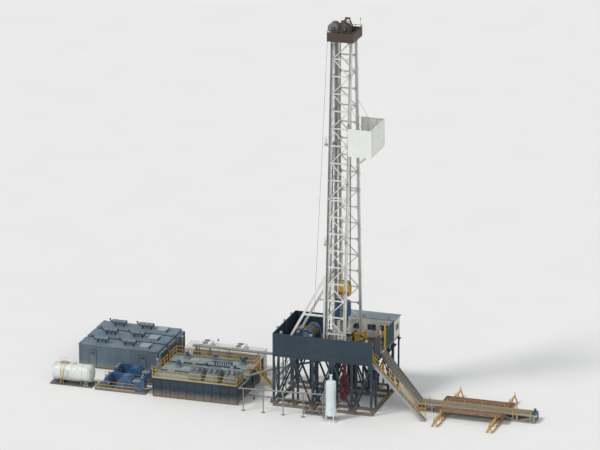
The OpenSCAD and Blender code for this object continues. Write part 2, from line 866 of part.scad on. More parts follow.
module racking_wind_wall() {
    z0 = rack_z - 250;
    t = 30;
    color("white") {
        translate([rack_x1 + fit, -rack_half_w - t, z0]) cube([t, 2 * (rack_half_w + t), rack_wall_h]);
        for (s = [-1, 1])
            translate([rack_x0, s > 0 ? rack_half_w + fit : -rack_half_w - fit - t + 1, z0])
                cube([rack_reach, t - 1, rack_wall_h]);
    }
}

// Travelling block and top drive

module travelling_block() {
    color("gold") translate([0, 0, block_z]) {
        for (i = [-1.5:1:1.5]) translate([0, i * sheave_pitch, 0]) sheave();
        shaft_y(block_half + cheek_t + 20);
        for (s = [-1, 1]) translate([0, s * (block_half + cheek_t / 2), 0]) upright(cheek_t) {
            circle(r = sheave_r + 20);
            translate([-sheave_r - 20, -620]) square([2 * sheave_r + 40, 620]);
        }
        translate([-sheave_r - 20, -block_half - 1, -620]) cube([2 * sheave_r + 40, 2 * block_half + 2, 180]);
        translate([0, 0, -900]) cylinder(h = 300, r = 110);
    }
}

// Motor and gear case on a carriage that runs on the rail, with the links and the pipe elevator below
module top_drive() {
    z0 = block_z - 900;
    back = back_bars_front + fit + rail_w + run_gap;
    side = rail_w / 2 + run_gap;
    case_h = 1100;
    case_z = z0 - case_h - 150;
    carriage_h = 1400;
    link_y = 230;
    color("gold") {
        translate([0, 0, z0 - 160]) cylinder(h = 160 - fit, r = 160);
        translate([-330, -330, case_z]) cube([600, 660, case_h]);
        translate([150, 0, case_z + 150]) cylinder(h = 900, r = 260);
        translate([0, 0, case_z - 400]) cylinder(h = 410, r = 240);
        translate([0, 0, case_z - 900]) cylinder(h = 520, r = 90);
        translate([back, -side - 60, z0 - 1500]) cube([-329 - back, 2 * side + 120, carriage_h]);
        for (s = [-1, 1]) {
            translate([back - 90, s > 0 ? side : -side - 60, z0 - 1500]) cube([91, 60, carriage_h]);
            translate([-60, s * link_y - 30, z0 - 2750]) cube([90, 60, 1110]);
        }
        translate([-80, -260, z0 - 2850]) cube([160, 520, 120]);
    }
}

module hoist_lines() {
    h = shaft_z - block_z;
    color("black") for (i = [-1.5:1:1.5]) for (s = [-1, 1]) {
        y0 = i * sheave_pitch;
        y1 = y0 + s * sheave_pitch / 2;
        rod([s * line_x, y0, block_z], [s * line_x, y1, shaft_z], line_r);
    }
}

// Where the fast line leaves the drum and where it meets the outer sheave
drum_line = drum_r + line_r + seat;
fast_span = [outer_x - dw_x, shaft_z - drum_z];
fast_lean = atan2(fast_span.x, fast_span.y) - asin((drum_line + line_x) / norm(fast_span));
fast_start = [dw_x + drum_line * cos(fast_lean), -outer_y, drum_z - drum_line * sin(fast_lean)];
fast_end = [outer_x - line_x * cos(fast_lean), -outer_y, shaft_z + line_x * sin(fast_lean)];
anchor_x = outer_x - line_x - 190;
anchor_h = 260;

module fast_and_dead_line() {
    color("black") {
        rod(fast_start, fast_end, line_r);
        rod([anchor_x, dead_y, floor_h + anchor_h + 1], [outer_x - line_x, dead_y, shaft_z], line_r);
    }
    color("slategray") translate([anchor_x - 120, dead_y - 120, floor_h + fit]) cube([240, 240, anchor_h]);
}

// Well control

flow_start = [0, 0, box_top - 620];
flow_end = [-tank_x + seat, -tank_y + 1280, deck_h + 420];
flow_turn = flow_end + [450, 0, 0];
bend_x = -sub_rear - 150;
bend_z = flow_start.z + (flow_turn.z - flow_start.z) * bend_x / flow_turn.x;
flow_bend = [bend_x, -inner_y + 450, bend_z];
nipple_reach = 330;

// The point at a distance along the flow line from the well's centre
function along_flow(d) = flow_start + (flow_bend - flow_start) * d / norm(flow_bend - flow_start);

// Flanged spools, two ram preventers, an annular preventer and the bell nipple, from the ground up
module blowout_preventer() {
    spool_h = 400;
    spool_r = 105;
    ram_h = 340;
    ram_z = [360, 760];
    annular_z = 1200;
    annular_h = 480;
    annular_r = 290;
    cap_h = 140;
    nipple_z = annular_z + annular_h + cap_h - 1;
    color("firebrick") {
        difference() {
            cylinder(h = flange_t, r = flange_r);
            for (a = [0:22.5:359])
                rotate(a) translate([bolt_circle_r, 0, -1]) cylinder(h = flange_t + 2, r = bolt_r);
        }
        cylinder(h = spool_h, r = spool_r);
        for (z = [ram_z[0] - flange_t, ram_z[1] - flange_t])
            translate([0, 0, z]) cylinder(h = flange_t, r = flange_r);
        for (s = [-1, 1]) {
            translate([0, s * 60, outlet_z]) rotate([-s * 90, 0, 0]) cylinder(h = outlet_reach - 60, r = 40);
            translate([-60, s * 400 - 60, outlet_z - 70]) cube([120, 120, 200]);
        }
        for (z = ram_z) {
            translate([-210, -330, z]) cube([420, 660, ram_h]);
            translate([0, 0, z + ram_h / 2]) rotate([90, 0, 0]) cylinder(h = 1500, r = 110, center = true);
        }
        translate([0, 0, ram_z[1] + ram_h]) cylinder(h = 100, r = flange_r);
        translate([0, 0, annular_z]) cylinder(h = annular_h, r = annular_r);
        translate([0, 0, annular_z + annular_h]) cylinder(h = cap_h, r1 = annular_r, r2 = 180);
        translate([0, 0, nipple_z]) cylinder(h = box_top - nipple_z - 60, r = 125);
        rod(flow_start, along_flow(nipple_reach), flow_r + 6);
        rod(along_flow(nipple_reach - 30), along_flow(nipple_reach), flow_r + 55);
    }
}

module flow_line() {
    color("slategray") pipe_run([along_flow(nipple_reach + seat), flow_bend, flow_turn, flow_end], flow_r);
}

sep_x = 300;
sep_y = -4000;
sep_z = 420;
dish_h = 110;
dish_z = sep_z - fit - dish_h;
nozzle_z = 1860;
nozzle_reach = sep_r + 60;

// A tall open-ended vessel on four legs over a drip tray, with its inlet nozzle
module gas_separator() {
    tray = sep_r + 120;
    leg_w = 60;
    flange = 25;
    color("white") translate([sep_x, sep_y, 0]) {
        translate([0, 0, sep_z]) difference() {
            cylinder(h = sep_h, r = sep_r);
            translate([0, 0, -1]) cylinder(h = sep_h + 2, r = sep_r - vessel_wall);
        }
        rod([0, sep_r - vessel_wall / 2, nozzle_z], [0, nozzle_reach, nozzle_z], choke_r + 10);
        rod([0, nozzle_reach - flange, nozzle_z], [0, nozzle_reach, nozzle_z], 2.4 * choke_r);
        for (a = [45:90:359]) rotate(a) {
            translate([sep_r + fit, -leg_w / 2, leg_w]) cube([leg_w, leg_w, sep_z + 300]);
            translate([sep_r - vessel_wall / 2, -leg_w / 2, sep_z]) cube([40, leg_w, 300]);
        }
        difference() {
            translate([-tray, -tray, 0]) cube([2 * tray, 2 * tray, 90]);
            translate([-sep_r, -sep_r, -1]) cube([2 * sep_r, 2 * sep_r, 50]);
        }
    }
}

// The ends that close the vessel, with the gas vent on the upper one
module separator_heads() {
    vent_r = 70;
    vent_h = 420;
    color("white") translate([sep_x, sep_y, 0]) {
        translate([0, 0, sep_z + sep_h + fit]) {
            dished_end(sep_r, dish_h, vessel_wall);
            translate([0, 0, dish_h - vessel_wall / 2]) cylinder(h = vent_h, r = vent_r);
        }
        translate([0, 0, sep_z - fit]) mirror([0, 0, 1]) dished_end(sep_r, dish_h, vessel_wall);
    }
}

outlet_z = 200;
outlet_reach = 480;
choke_z = 300;
manifold_x = [-1700, -1200, -700, -200];
manifold_y = [-3400, -2950];

// The choke line, the manifold on its skid and the riser to the separator
module choke_manifold() {
    last = len(manifold_x) - 1;
    inset = 1.05 * choke_r;
    skid_x = manifold_x[0] - 150;
    skid_len = -skid_x + 100;
    beam = 100;
    valve = 120;
    mid = (manifold_y[0] + manifold_y[1]) / 2;
    color("slategray") {
        pipe_run([[0, -outlet_reach - seat, outlet_z], [0, -outlet_reach - 300, outlet_z],
                  [0, -inner_y + 250, choke_z],
                  [0, manifold_y[1], choke_z], [manifold_x[last] + inset, manifold_y[1], choke_z]], choke_r);
        pipe_run([[manifold_x[last] + inset, manifold_y[0], choke_z], [sep_x, manifold_y[0], choke_z],
                  [sep_x, manifold_y[0], nozzle_z], [sep_x, sep_y + nozzle_reach + seat, nozzle_z]], choke_r);
        rod([sep_x, sep_y + nozzle_reach + seat, nozzle_z], [sep_x, sep_y + nozzle_reach + 25, nozzle_z],
            2.4 * choke_r);
        for (x = manifold_x) {
            for (y = manifold_y) {
                translate([x, y, choke_z]) sphere(r = 1.5 * choke_r);
                translate([x - 25, y - 25, 59]) cube([50, 50, choke_z - 59]);
            }
            rod([x, manifold_y[0] + inset, choke_z], [x, manifold_y[1] - inset, choke_z], choke_r);
            for (s = [-1, 1])
                translate([x, mid + s * 85, choke_z + 20])
                    cube([valve - 10, valve, valve + 20], center = true);
        }
        for (i = [1:last]) for (y = manifold_y)
            rod([manifold_x[i - 1] + inset, y, choke_z], [manifold_x[i] - inset, y, choke_z], choke_r);
        for (y = manifold_y) translate([skid_x, y - beam / 2, 0]) cube([skid_len, beam, 60]);
        for (x = [skid_x, skid_x + skid_len / 2, skid_x + skid_len - beam])
            translate([x, manifold_y[0], 1]) cube([beam, manifold_y[1] - manifold_y[0], 55]);
    }
}

// The separator's seal loop and its line to the shakers' header box, on stands
module separator_line() {
    leg_x = sep_x - sep_r - 220;
    turn_x = -tank_x + 450;
    low_z = 180;
    high_z = 1750;
    end_z = deck_h + 200;
    end_y = flow_end.y;
    fall = (high_z - end_z) / (leg_x - turn_x);
    stands = 4;
    color("slategray") {
        pipe_run([[sep_x, sep_y, dish_z - seat], [sep_x, sep_y, low_z], [leg_x, sep_y, low_z],
                  [leg_x, sep_y, high_z], [turn_x, sep_y, end_z], [turn_x, end_y, end_z],
                  [-tank_x + seat, end_y, end_z]], return_r);
        for (i = [1:stands]) {
            x = leg_x + (turn_x - leg_x) * i / (stands + 0.2);
            translate([x - 30, sep_y - 30, 0]) cube([60, 60, high_z - (leg_x - x) * fall]);
            translate([x - 120, sep_y - 120, 0]) cube([240, 240, 20]);
        }
    }
}

// High-pressure line from the pumps under the floor to the mast

mud_r = 45;
mud_z = 260;
main_x = -tank_end - 300;
main_y = -tank_y + tank_w + tank_gap / 2;
riser_x = -mast_back + 120 + mud_r + run_gap;
standpipe_top = rack_z + 300;

function standpipe_y(z) = -(half_w(z) - 150);

// A pipe through the given points, with a ball fitting at each bend
module pipe_run(points, r) {
    last = len(points) - 1;
    inset = 1.05 * r;
    for (i = [1:last]) {
        u = (points[i] - points[i - 1]) / norm(points[i] - points[i - 1]);
        rod(points[i - 1] + (i > 1 ? inset : 0) * u, points[i] - (i < last ? inset : 0) * u, r);
    }
    for (i = [1:last - 1])
        translate(points[i]) sphere(r = 1.5 * r);
}

module mud_line() {
    pump_out = -pump_front - 160 + seat;
    foot_z = floor_h + 500;
    y1 = standpipe_y(standpipe_top);
    top = [riser_x, y1, standpipe_top];
    color("slategray") {
        pipe_run([[pump_out, pump_mid(0), mud_z], [main_x, pump_mid(0), mud_z], [main_x, main_y, mud_z],
                  [riser_x, main_y, mud_z], [riser_x, main_y, box_top - seat]], mud_r);
        pipe_run([[pump_out, pump_mid(1), mud_z], [main_x, pump_mid(1), mud_z],
                  [main_x, main_y + mud_r, mud_z]], mud_r);
        pipe_run([[riser_x, main_y, floor_h + seat], [riser_x, main_y, foot_z - 150],
                  [riser_x, standpipe_y(foot_z), foot_z], top, top + [70, 0, 170], top + [230, 0, 230],
                  top + [380, 0, 150]], mud_r);
        translate([riser_x, main_y, floor_h + seat]) cylinder(h = 40, r = 110);
    }
}

// Mud tanks

module at_tanks() {
    for (i = [0:2])
        translate([-tank_x - tank_len, -tank_y + i * (tank_w + tank_gap), 0]) children();
}

module mud_tanks() {
    n = 10;
    rib = 50;
    color("midnightblue") at_tanks() {
        difference() {
            translate([0, rib, 120]) cube([tank_len, tank_w - 2 * rib, tank_h - fit]);
            translate([tank_wall, rib + tank_wall, 120 + tank_wall])
                cube([tank_len - 2 * tank_wall, tank_w - 2 * (rib + tank_wall), tank_h]);
        }
        for (i = [0:n]) for (y = [0, tank_w - rib - 1])
            translate([i * (tank_len - rib) / n, y, 120]) cube([rib, rib + 1, tank_h - fit]);
        for (y = [100, tank_w - 280])
            translate([0, y, 0]) cube([tank_len, 180, 121]);
    }
}

module tank_decks() {
    color("lightslategray") at_tanks() {
        translate([-30, 0, deck_h]) cube([tank_len + 60, tank_w, 40]);
    }
    color("steelblue") translate([0, 0, deck_h + 40]) for (i = [1, 2])
        translate([-tank_x - tank_len, -tank_y + i * (tank_w + tank_gap), 0]) for (k = [0:2])
            translate([(k + 0.5) * tank_len / 3, tank_w / 2, 0]) {
                translate([-160, -160, -1]) cube([320, 320, 160]);
                translate([0, 0, 150]) cylinder(h = 330, r = 120);
            }
}

module tank_rails() {
    z = deck_h + 40 + fit;
    total_w = 3 * tank_w + 2 * tank_gap;
    color("gold") {
        translate([-tank_x - tank_len, -tank_y + rail_bar / 2, z]) upright(rail_bar) rail_drawing(tank_len);
        translate([-tank_x - tank_len, -tank_y + total_w - rail_bar / 2, z]) upright(rail_bar)
            rail_drawing(tank_len);
        for (x = [-tank_x - tank_len - 15, -tank_x + 15]) for (i = [0:2])
            translate([x, -tank_y + i * (tank_w + tank_gap) + 40, z]) crosswise(rail_bar)
                rail_drawing(tank_w - 80);
    }
}

module shale_shakers() {
    z = deck_h + 40 + fit;
    pitch = 1250;
    color("steelblue") {
        for (i = [0:2]) translate([-tank_x - 1000 - i * pitch, -tank_y + 120, z]) {
            difference() {
                cube([900, 1000, 380]);
                translate([60, 60, -1]) cube([780, 880, 300]);
            }
            translate([0, 0, 380]) screen_basket();
            for (x = [250, 650]) translate([x, 560, 760]) rotate([90, 0, 0]) cylinder(h = 320, r = 85);
        }
        translate([-tank_x - 3650, -tank_y + 1150, z]) cube([3650, 260, 640]);
    }
}

// The tilted screen basket of a shaker
module screen_basket() {
    translate([450, 0, 0]) crosswise(820)
        polygon([[20, -30], [1000, -30], [1000, 330], [600, 330], [20, 120]]);
}

// Mud pumps

pump_len = 3600;
pump_w = 1500;
skid_h = 160;

// The middle of a pump across its length
function pump_mid(i) = pump_y + i * pump_pitch + pump_w / 2;

module mud_pumps() {
    skid_half = 630;
    runner = 200;
    for (i = [0, 1]) translate([-pump_front - pump_len, pump_mid(i), 0]) {
        color("slategray") {
            for (y = [-skid_half, skid_half - runner]) translate([0, y, 0]) cube([pump_len, runner, skid_h]);
            for (x = [100, 1700, pump_len - 300])
                translate([x, 30 - skid_half, 20]) cube([180, 2 * skid_half - 60, skid_h - 21]);
            pump_drive();
        }
        color("steelblue") translate([0, 0, skid_h - 1]) {
            pump_power_end();
            pump_fluid_end();
        }
    }
}

// The electric motors on a raised base with their shaft and guard
module pump_drive() {
    translate([0, 0, skid_h - 1]) {
        translate([350, -500, 0]) cube([850, 1000, 120]);
        for (y = [-250, 250]) {
            translate([775, y + 230, 350]) rotate([90, 0, 0]) cylinder(h = 460, r = 235);
            translate([600, y - 150, 100]) cube([350, 300, 160]);
        }
        translate([775, 610, 350]) rotate([90, 0, 0]) cylinder(h = 1220, r = 45);
        translate([600, 500, 0]) cube([1750, 110, 800]);
    }
}

module pump_power_end() {
    translate([1500, -450, 0]) cube([1250, 900, 420]);
    translate([2100, 450, 430]) rotate([90, 0, 0]) cylinder(h = 900, r = 470);
    translate([2100, 620, 430]) rotate([90, 0, 0]) cylinder(h = 1240, r = 80);
    translate([2400, -330, 0]) cube([700, 660, 560]);
}

module pump_fluid_end() {
    x = pump_len - 500;
    for (y = [-220, 0, 220]) {
        translate([x, y - 80, 0]) cube([340, 160, 640]);
        translate([x - 350, y, 330]) rotate([0, 90, 0]) cylinder(h = 360, r = 60);
        translate([x + 170, y, 630]) cylinder(h = 60, r = 70);
    }
    translate([x + 170, 330, 101]) rotate([90, 0, 0]) cylinder(h = 660, r = 90);
    translate([x + 170, 0, 800]) sphere(r = 200);
    translate([x + 170, 0, 600]) cylinder(h = 100, r = 110);
}

// Power

house_z = 150;
radiator_len = 300;

module generator_houses() {
    roof_z = house_z + house_h;
    body_len = house_len - radiator_len;
    for (i = [0:2]) translate([-house_front - house_len, house_y + i * (house_w + house_gap), 0]) {
        color("midnightblue") for (y = [100, house_w - 280])
            translate([0, y, 0]) cube([house_len, 180, house_z + 1]);
        color("dimgray") {
            translate([0, 0, house_z]) cube([body_len, house_w, house_h]);
            translate([body_len - 1, 60, house_z]) cube([radiator_len - 40, house_w - 120, house_h - 60]);
        }
        color("lightslategray") translate([-40, -40, roof_z - 1])
            cube([body_len + 80, house_w + 80, 50]);
        color("silver") for (x = [body_len * 0.25, body_len * 0.6]) {
            translate([x, house_w / 2, roof_z + 40]) cylinder(h = 260, r = 60);
            translate([x - 500, house_w / 2, roof_z + 350]) rotate([0, 90, 0]) cylinder(h = 1000, r = 150);
        }
    }
}

control_x = 300 - tank_end;
control_y = 2600;
control_len = 5400;
control_w = 1500;
control_h = 1400;
room_z = 150;
room_wall = 50;

// The house's floor and its four walls, with a door to the rig and a window
module control_house() {
    control_roof();
    door = 480;
    door_y = 300;
    color("midnightblue") for (y = [100, control_w - 280])
        translate([control_x, control_y + y, 0]) cube([control_len, 180, room_z - 59 - seat]);
    color("gainsboro") translate([control_x, control_y, room_z]) {
        translate([0, 0, -59]) cube([control_len, control_w, 59]);
        for (y = [0, control_w - room_wall]) translate([0, y, seat])
            cube([control_len, room_wall, control_h - seat]);
        translate([0, room_wall + seat, seat])
            cube([room_wall, control_w - 2 * (room_wall + seat), control_h - seat]);
        translate([control_len - room_wall, 0, seat]) {
            translate([0, room_wall + seat, 0]) cube([room_wall, door_y - room_wall, control_h - seat]);
            translate([0, door_y + door, 0])
                cube([room_wall, control_w - door_y - door - room_wall - seat, control_h - seat]);
            translate([0, door_y + 2 * seat, door_h + seat])
                cube([room_wall, door - 3 * seat, control_h - door_h - 2 * seat]);
        }
    }
}

module control_roof() {
    z = room_z + control_h + seat;
    color("silver") {
        translate([control_x - 40, control_y - 40, z]) cube([control_len + 80, control_w + 80, 50]);
        for (k = [0:1])
            translate([control_x + 900 + k * 2400, control_y + 250, z + 49]) cube([800, 1000, 300]);
    }
}

fuel_r = 620;
fuel_len = 3000;
fuel_end = 240;
fuel_z = fuel_r + 200;
fuel_x = -pump_front - pump_len - 300 - fuel_len / 2;
fuel_y = pump_y + 900;
barrel_len = fuel_len - 2 * fuel_end;

// A lying open-ended barrel on two saddles over its skid
module fuel_tank() {
    saddle = [160, 1120, 320];
    skid_h = 100;
    color("silver") translate([fuel_x, fuel_y, fuel_z]) rotate([0, 90, 0]) difference() {
        cylinder(h = barrel_len, r = fuel_r, center = true);
        cylinder(h = barrel_len + 2, r = fuel_r - vessel_wall, center = true);
    }
    color("midnightblue") {
        difference() {
            for (s = [-1, 1])
                translate([fuel_x + s * barrel_len * 0.3 - saddle.x / 2, fuel_y - saddle.y / 2, skid_h - 1])
                    cube(saddle);
            translate([fuel_x, fuel_y, fuel_z]) rotate([0, 90, 0])
                cylinder(h = barrel_len, r = fuel_r - vessel_wall / 2, center = true);
        }
        translate([fuel_x - fuel_len / 2, fuel_y - 600, 0]) cube([fuel_len, 1200, skid_h]);
    }
}

module fuel_tank_ends() {
    color("silver") for (s = [0, 1]) translate([fuel_x, fuel_y, fuel_z]) mirror([s, 0, 0])
        translate([barrel_len / 2 + fit, 0, 0]) rotate([0, 90, 0])
            dished_end(fuel_r, fuel_end - fit, vessel_wall);
}

// Pipe handling

module catwalk() {
    n = 7;
    color("slategray") {
        translate([cat_x0, -cat_w / 2, cat_h - 60]) cube([cat_len, cat_w, 60]);
        for (s = [-1, 1]) translate([0, s * (cat_w / 2 - 40), 0]) upright(80) {
            for (i = [0:n])
                translate([cat_x0 + i * (cat_len - 120) / n, 0]) square([120, cat_h - 59]);
            translate([cat_x0, 0]) square([cat_len, 90]);
            for (i = [0:n - 1])
                bar([cat_x0 + 60 + i * (cat_len - 120) / n, i % 2 == 0 ? 50 : cat_h - 100],
                    [cat_x0 + 60 + (i + 1) * (cat_len - 120) / n, i % 2 == 0 ? cat_h - 100 : 50], 60);
        }
        for (i = [0:n])
            translate([cat_x0 + i * (cat_len - 120) / n, -cat_w / 2 + 1, 0]) cube([120, cat_w - 2, 80]);
    }
}

trestle_len = 2600;
trestle_h = 520;
pipe_len = 4750;
trestle_x = [cat_x0 + 2200, cat_x0 + 2200 + 0.8 * pipe_len];

module pipe_racks() {
    color("gold") for (s = [-1, 1]) for (x = trestle_x)
        translate([x, s * (cat_w / 2 + 60 + trestle_len / 2), 0]) {
            translate([-50, -trestle_len / 2, trestle_h - 70]) cube([100, trestle_len, 70]);
            for (d = [-1, 1])
                translate([d * 190 - 40, -trestle_len / 2, 0]) cube([80, trestle_len, 60]);
            for (k = [-1, 0, 1]) translate([0, k * (trestle_len / 2 - 60), 0]) upright(80) intersection() {
                translate([-230, 0]) square([460, trestle_h - 20]);
                union() {
                    bar([-200, 0], [0, trestle_h - 20], 70);
                    bar([200, 0], [0, trestle_h - 20], 70);
                }
            }
        }
}

module rack_pipes() {
    pitch = 2 * pipe_r + 12;
    x = (trestle_x[0] + trestle_x[1] - pipe_len) / 2;
    color("sienna") for (s = [-1, 1]) for (k = [0:pipe_count - 1])
        translate([x, s * (cat_w / 2 + 160 + k * pitch), trestle_h + pipe_r + seat])
            rotate([0, 90, 0]) cylinder(h = pipe_len, r = pipe_r);
}

near_side() side_box();  // substructure_near
side_box();  // substructure_far
cross_beams();
floor_deck();
rotary_table();
wind_walls();
stairs();
stair_rails();
pipe_ramp();
doghouse_walls();
doghouse_roof();
doghouse_base();
doghouse_windows();
drawworks();
drawworks_drum();
raising_frame();
mast_shoes();
near_side() mast_lower_side();  // mast_lower_near
mast_lower_side();  // mast_lower_far
mast_back_panel(lower_lat0, lower_lat1, window_bays);  // mast_lower_back
near_side() mast_upper_side();  // mast_upper_near
mast_upper_side();  // mast_upper_far
mast_back_panel(upper_lat0, upper_lat1, 0);  // mast_upper_back
crown_frame();
crown_sheaves();
crown_rail();
racking_board();
racking_wind_wall();
travelling_block();
top_drive();
guide_rail();
hoist_lines();
fast_and_dead_line();
mast_ladder();
blowout_preventer();
flow_line();
gas_separator();
separator_heads();
choke_manifold();
separator_line();
mud_line();
mud_tanks();
tank_decks();
shale_shakers();
tank_rails();
mud_pumps();
generator_houses();
control_house();
fuel_tank();
fuel_tank_ends();
catwalk();
pipe_racks();
rack_pipes();
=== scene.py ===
"""Looks of the drilling rig: materials and fine detail on the CAD frame. All sizes are in metres."""

import math

import bpy
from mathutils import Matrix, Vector


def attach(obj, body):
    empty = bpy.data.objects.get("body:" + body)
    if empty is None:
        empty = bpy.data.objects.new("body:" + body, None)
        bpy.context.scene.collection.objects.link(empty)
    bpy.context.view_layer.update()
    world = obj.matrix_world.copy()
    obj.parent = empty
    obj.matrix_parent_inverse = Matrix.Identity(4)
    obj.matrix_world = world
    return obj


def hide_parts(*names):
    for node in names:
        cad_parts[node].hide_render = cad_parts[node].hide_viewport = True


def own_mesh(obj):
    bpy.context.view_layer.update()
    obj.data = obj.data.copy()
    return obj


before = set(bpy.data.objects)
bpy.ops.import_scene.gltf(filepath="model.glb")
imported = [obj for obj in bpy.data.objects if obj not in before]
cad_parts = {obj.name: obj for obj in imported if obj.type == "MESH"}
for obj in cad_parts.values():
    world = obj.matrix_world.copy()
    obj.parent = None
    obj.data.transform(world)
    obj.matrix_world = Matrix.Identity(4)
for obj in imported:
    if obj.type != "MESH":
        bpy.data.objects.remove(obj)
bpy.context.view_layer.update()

# Levels and places repeated from the part's source
FLOOR = 3.8
WALL_TOP = 5.15
REAR, FRONT, HALF = -4.3, 2.7, 2.5
STAIR_RUN = 3.7
REAR_STAIR = -2.2805

# Mast: half its width at the floor, lean, legs, splice and the levels of its joints
FOOT_HALF, LEAN = 1.9, 0.0625
LEG_BACK, LEG_FRONT = -0.75, 0.55
SPLICE = 14.6
LOWER = [4.16 + i * 1.15 for i in range(10)]
UPPER = [14.6905 + i * 1.17994 for i in range(10)]
CROWN = 25.6005
SHAFT = CROWN + 0.5
BLOCK = 8.15
TOP_DRIVE = BLOCK - 0.9

# Racking board
RACK = 18.0
RACK_IN, RACK_OUT = 0.6405, 2.2405

# Doghouse: two opposite corners
DOG = (-1.7, 2.5005, 3.8005, 2.7, 3.8005, 5.1005)

# Mud tanks, pumps and the mud line
TANK_X0, TANK_X1 = -12.6, -6.6
TANK_W, TANK_TOP = 1.5, 1.41
TANK_Y = (-3.3, -1.5, 0.3)
HEADER_X = TANK_X0 - 0.18
PUMP_X, PUMP_Y = -16.8, (-2.55, -0.65)
MUD_LINE = (-1.65, 0.26)

# Well control: gas separator, and the dead line's anchor on the floor
SEPARATOR = (0.3, -4.0)
ANCHOR = (-1.3193, 0.285)

# Generator and control houses, duct to the floor and fuel tank
GENERATORS = [(-19.4, 0.85 + k * 1.8) for k in range(3)]
GENERATOR_LONG, GENERATOR_WIDE = 5.7, 1.45
CONTROL = (-12.3, 2.6, -6.9, 4.1)
DUCT_Y, DUCT_Z = 2.26, 1.95
FUEL_TANK = (-18.6, -2.4, 0.82)

# Ramp, catwalk and racked pipe
RAMP_END = FRONT + 2.7
CAT_X0, CAT_X1, CAT_H = RAMP_END - 0.35, RAMP_END + 8.05, 0.54
RACK_X = (CAT_X0 + 2.2, CAT_X0 + 6.0)
PIPE_PITCH = 0.076
PIPE_LONG = 4.75

UP = Vector((0, 0, 1))
AXES = ((1, 0, 0), (0, 1, 0), (0, 0, 1))


def half_w(z):
    """Half of the mast's width at a level."""
    return FOOT_HALF - (z - FLOOR) * LEAN


def spread(a, b, n):
    """n + 1 even values from a to b."""
    return [a + (b - a) * k / n for k in range(n + 1)]


def polar(r, angle, axis=2):
    """A point at a distance and an angle round an axis: 0, 1 or 2."""
    pair = (r * math.cos(angle), r * math.sin(angle))
    return Vector((*pair[:axis], 0, *pair[axis:]))


def circle(r, n, axis=2):
    """n even points on a circle round an axis."""
    return [polar(r, 2 * math.pi * k / n, axis) for k in range(n)]


def gusset(h, length):
    """The outline of a plate that narrows away from a leg."""
    return [(0, -h), (length, -0.05), (length, 0.05), (0, h)]


def across(form, centre, half, *rest):
    """A beam or tube along Y, as far to both sides of a point."""
    out = Vector((0, half, 0))
    form(centre - out, centre + out, *rest)


# Materials


def screen(r, g, b):
    """A colour as it looks on screen, 0 to 255, as linear values."""
    linear = [((c / 255 + 0.055) / 1.055) ** 2.4 if c > 10 else c / 255 / 12.92 for c in (r, g, b)]
    return (*linear, 1.0)


def shade(colour, k):
    """A colour made k times as bright."""
    return (*(min(1.0, c * k) for c in colour[:3]), 1.0)


class Graph:
    """A node material that is put together with short calls."""

    def __init__(self, name):
        self.mat = bpy.data.materials.new(name)
        self.mat.use_nodes = True
        self.nodes = self.mat.node_tree.nodes
        self.links = self.mat.node_tree.links
        self.shader = self.nodes["Principled BSDF"]
        self.coords = self.nodes.new("ShaderNodeTexCoord").outputs["Object"]

    def put(self, socket, value):
        if isinstance(value, bpy.types.NodeSocket):
            self.links.new(value, socket)
        else:
            socket.default_value = value

    def node(self, kind, out=0, **inputs):
        """A new node with its inputs set or linked, where an underscore stands for a space."""
        node = self.nodes.new("ShaderNode" + kind)
        for key, value in inputs.items():
            self.put(node.inputs[key.replace("_", " ")], value)
        return node.outputs[out]

    def place(self, stretch=(1, 1, 1), turn=(0, 0, 0)):
        return self.node("Mapping", Vector=self.coords, Scale=stretch, Rotation=turn)

    def noise(self, scale, detail=4.0, rough=0.55, stretch=(1, 1, 1)):
        return self.node("TexNoise", Vector=self.place(stretch), Scale=scale, Detail=detail, Roughness=rough)

    def ramp(self, value, lo, hi, a=0.0, b=1.0):
        """a below lo, b above hi and a smooth change between them."""
        out = self.node("MapRange", "Result", Value=value, From_Min=lo, From_Max=hi, To_Min=a, To_Max=b)
        out.node.interpolation_type = "SMOOTHSTEP"
        return out

    def mix(self, fac, a, b, blend="MIX"):
        node = self.nodes.new("ShaderNodeMix")
        node.data_type = "RGBA"
        node.blend_type = blend
        for index, value in ((0, fac), (6, a), (7, b)):
            self.put(node.inputs[index], value)
        return node.outputs[2]

    def math(self, op, a, b=0.0):
        node = self.nodes.new("ShaderNodeMath")
        node.operation = op
        self.put(node.inputs[0], a)
        self.put(node.inputs[1], b)
        return node.outputs[0]

    def times(self, a, b):
        return self.math("MULTIPLY", a, b)

    def axis(self, name):
        return self.node("SeparateXYZ", name, Vector=self.coords)

    def bump(self, height, strength, distance=0.01):
        normal = self.node("Bump", Strength=strength, Distance=distance, Height=height)
        self.links.new(normal, self.shader.inputs["Normal"])

    def edges(self, radius=0.012):
        """1 along outer edges, 0 on flat faces."""
        soft = self.node("Bevel", Radius=radius)
        soft.node.samples = 4
        dot = self.nodes.new("ShaderNodeVectorMath")
        dot.operation = "DOT_PRODUCT"
        self.links.new(soft, dot.inputs[0])
        self.links.new(self.node("NewGeometry", "Normal"), dot.inputs[1])
        return self.ramp(dot.outputs["Value"], 0.995, 0.9)

    def surface(self, colour, rough, metal=0.0, **more):
        """Sets the shader's own sockets and gives the finished material."""
        more.update(Base_Color=colour, Roughness=rough, Metallic=metal)
        for key, value in more.items():
            self.put(self.shader.inputs[key.replace("_", " ")], value)
        return self.mat


RUST = screen(112, 62, 36)
GRIME = screen(70, 62, 52)
DUST = screen(168, 148, 122)
PRIMER = screen(120, 112, 104)


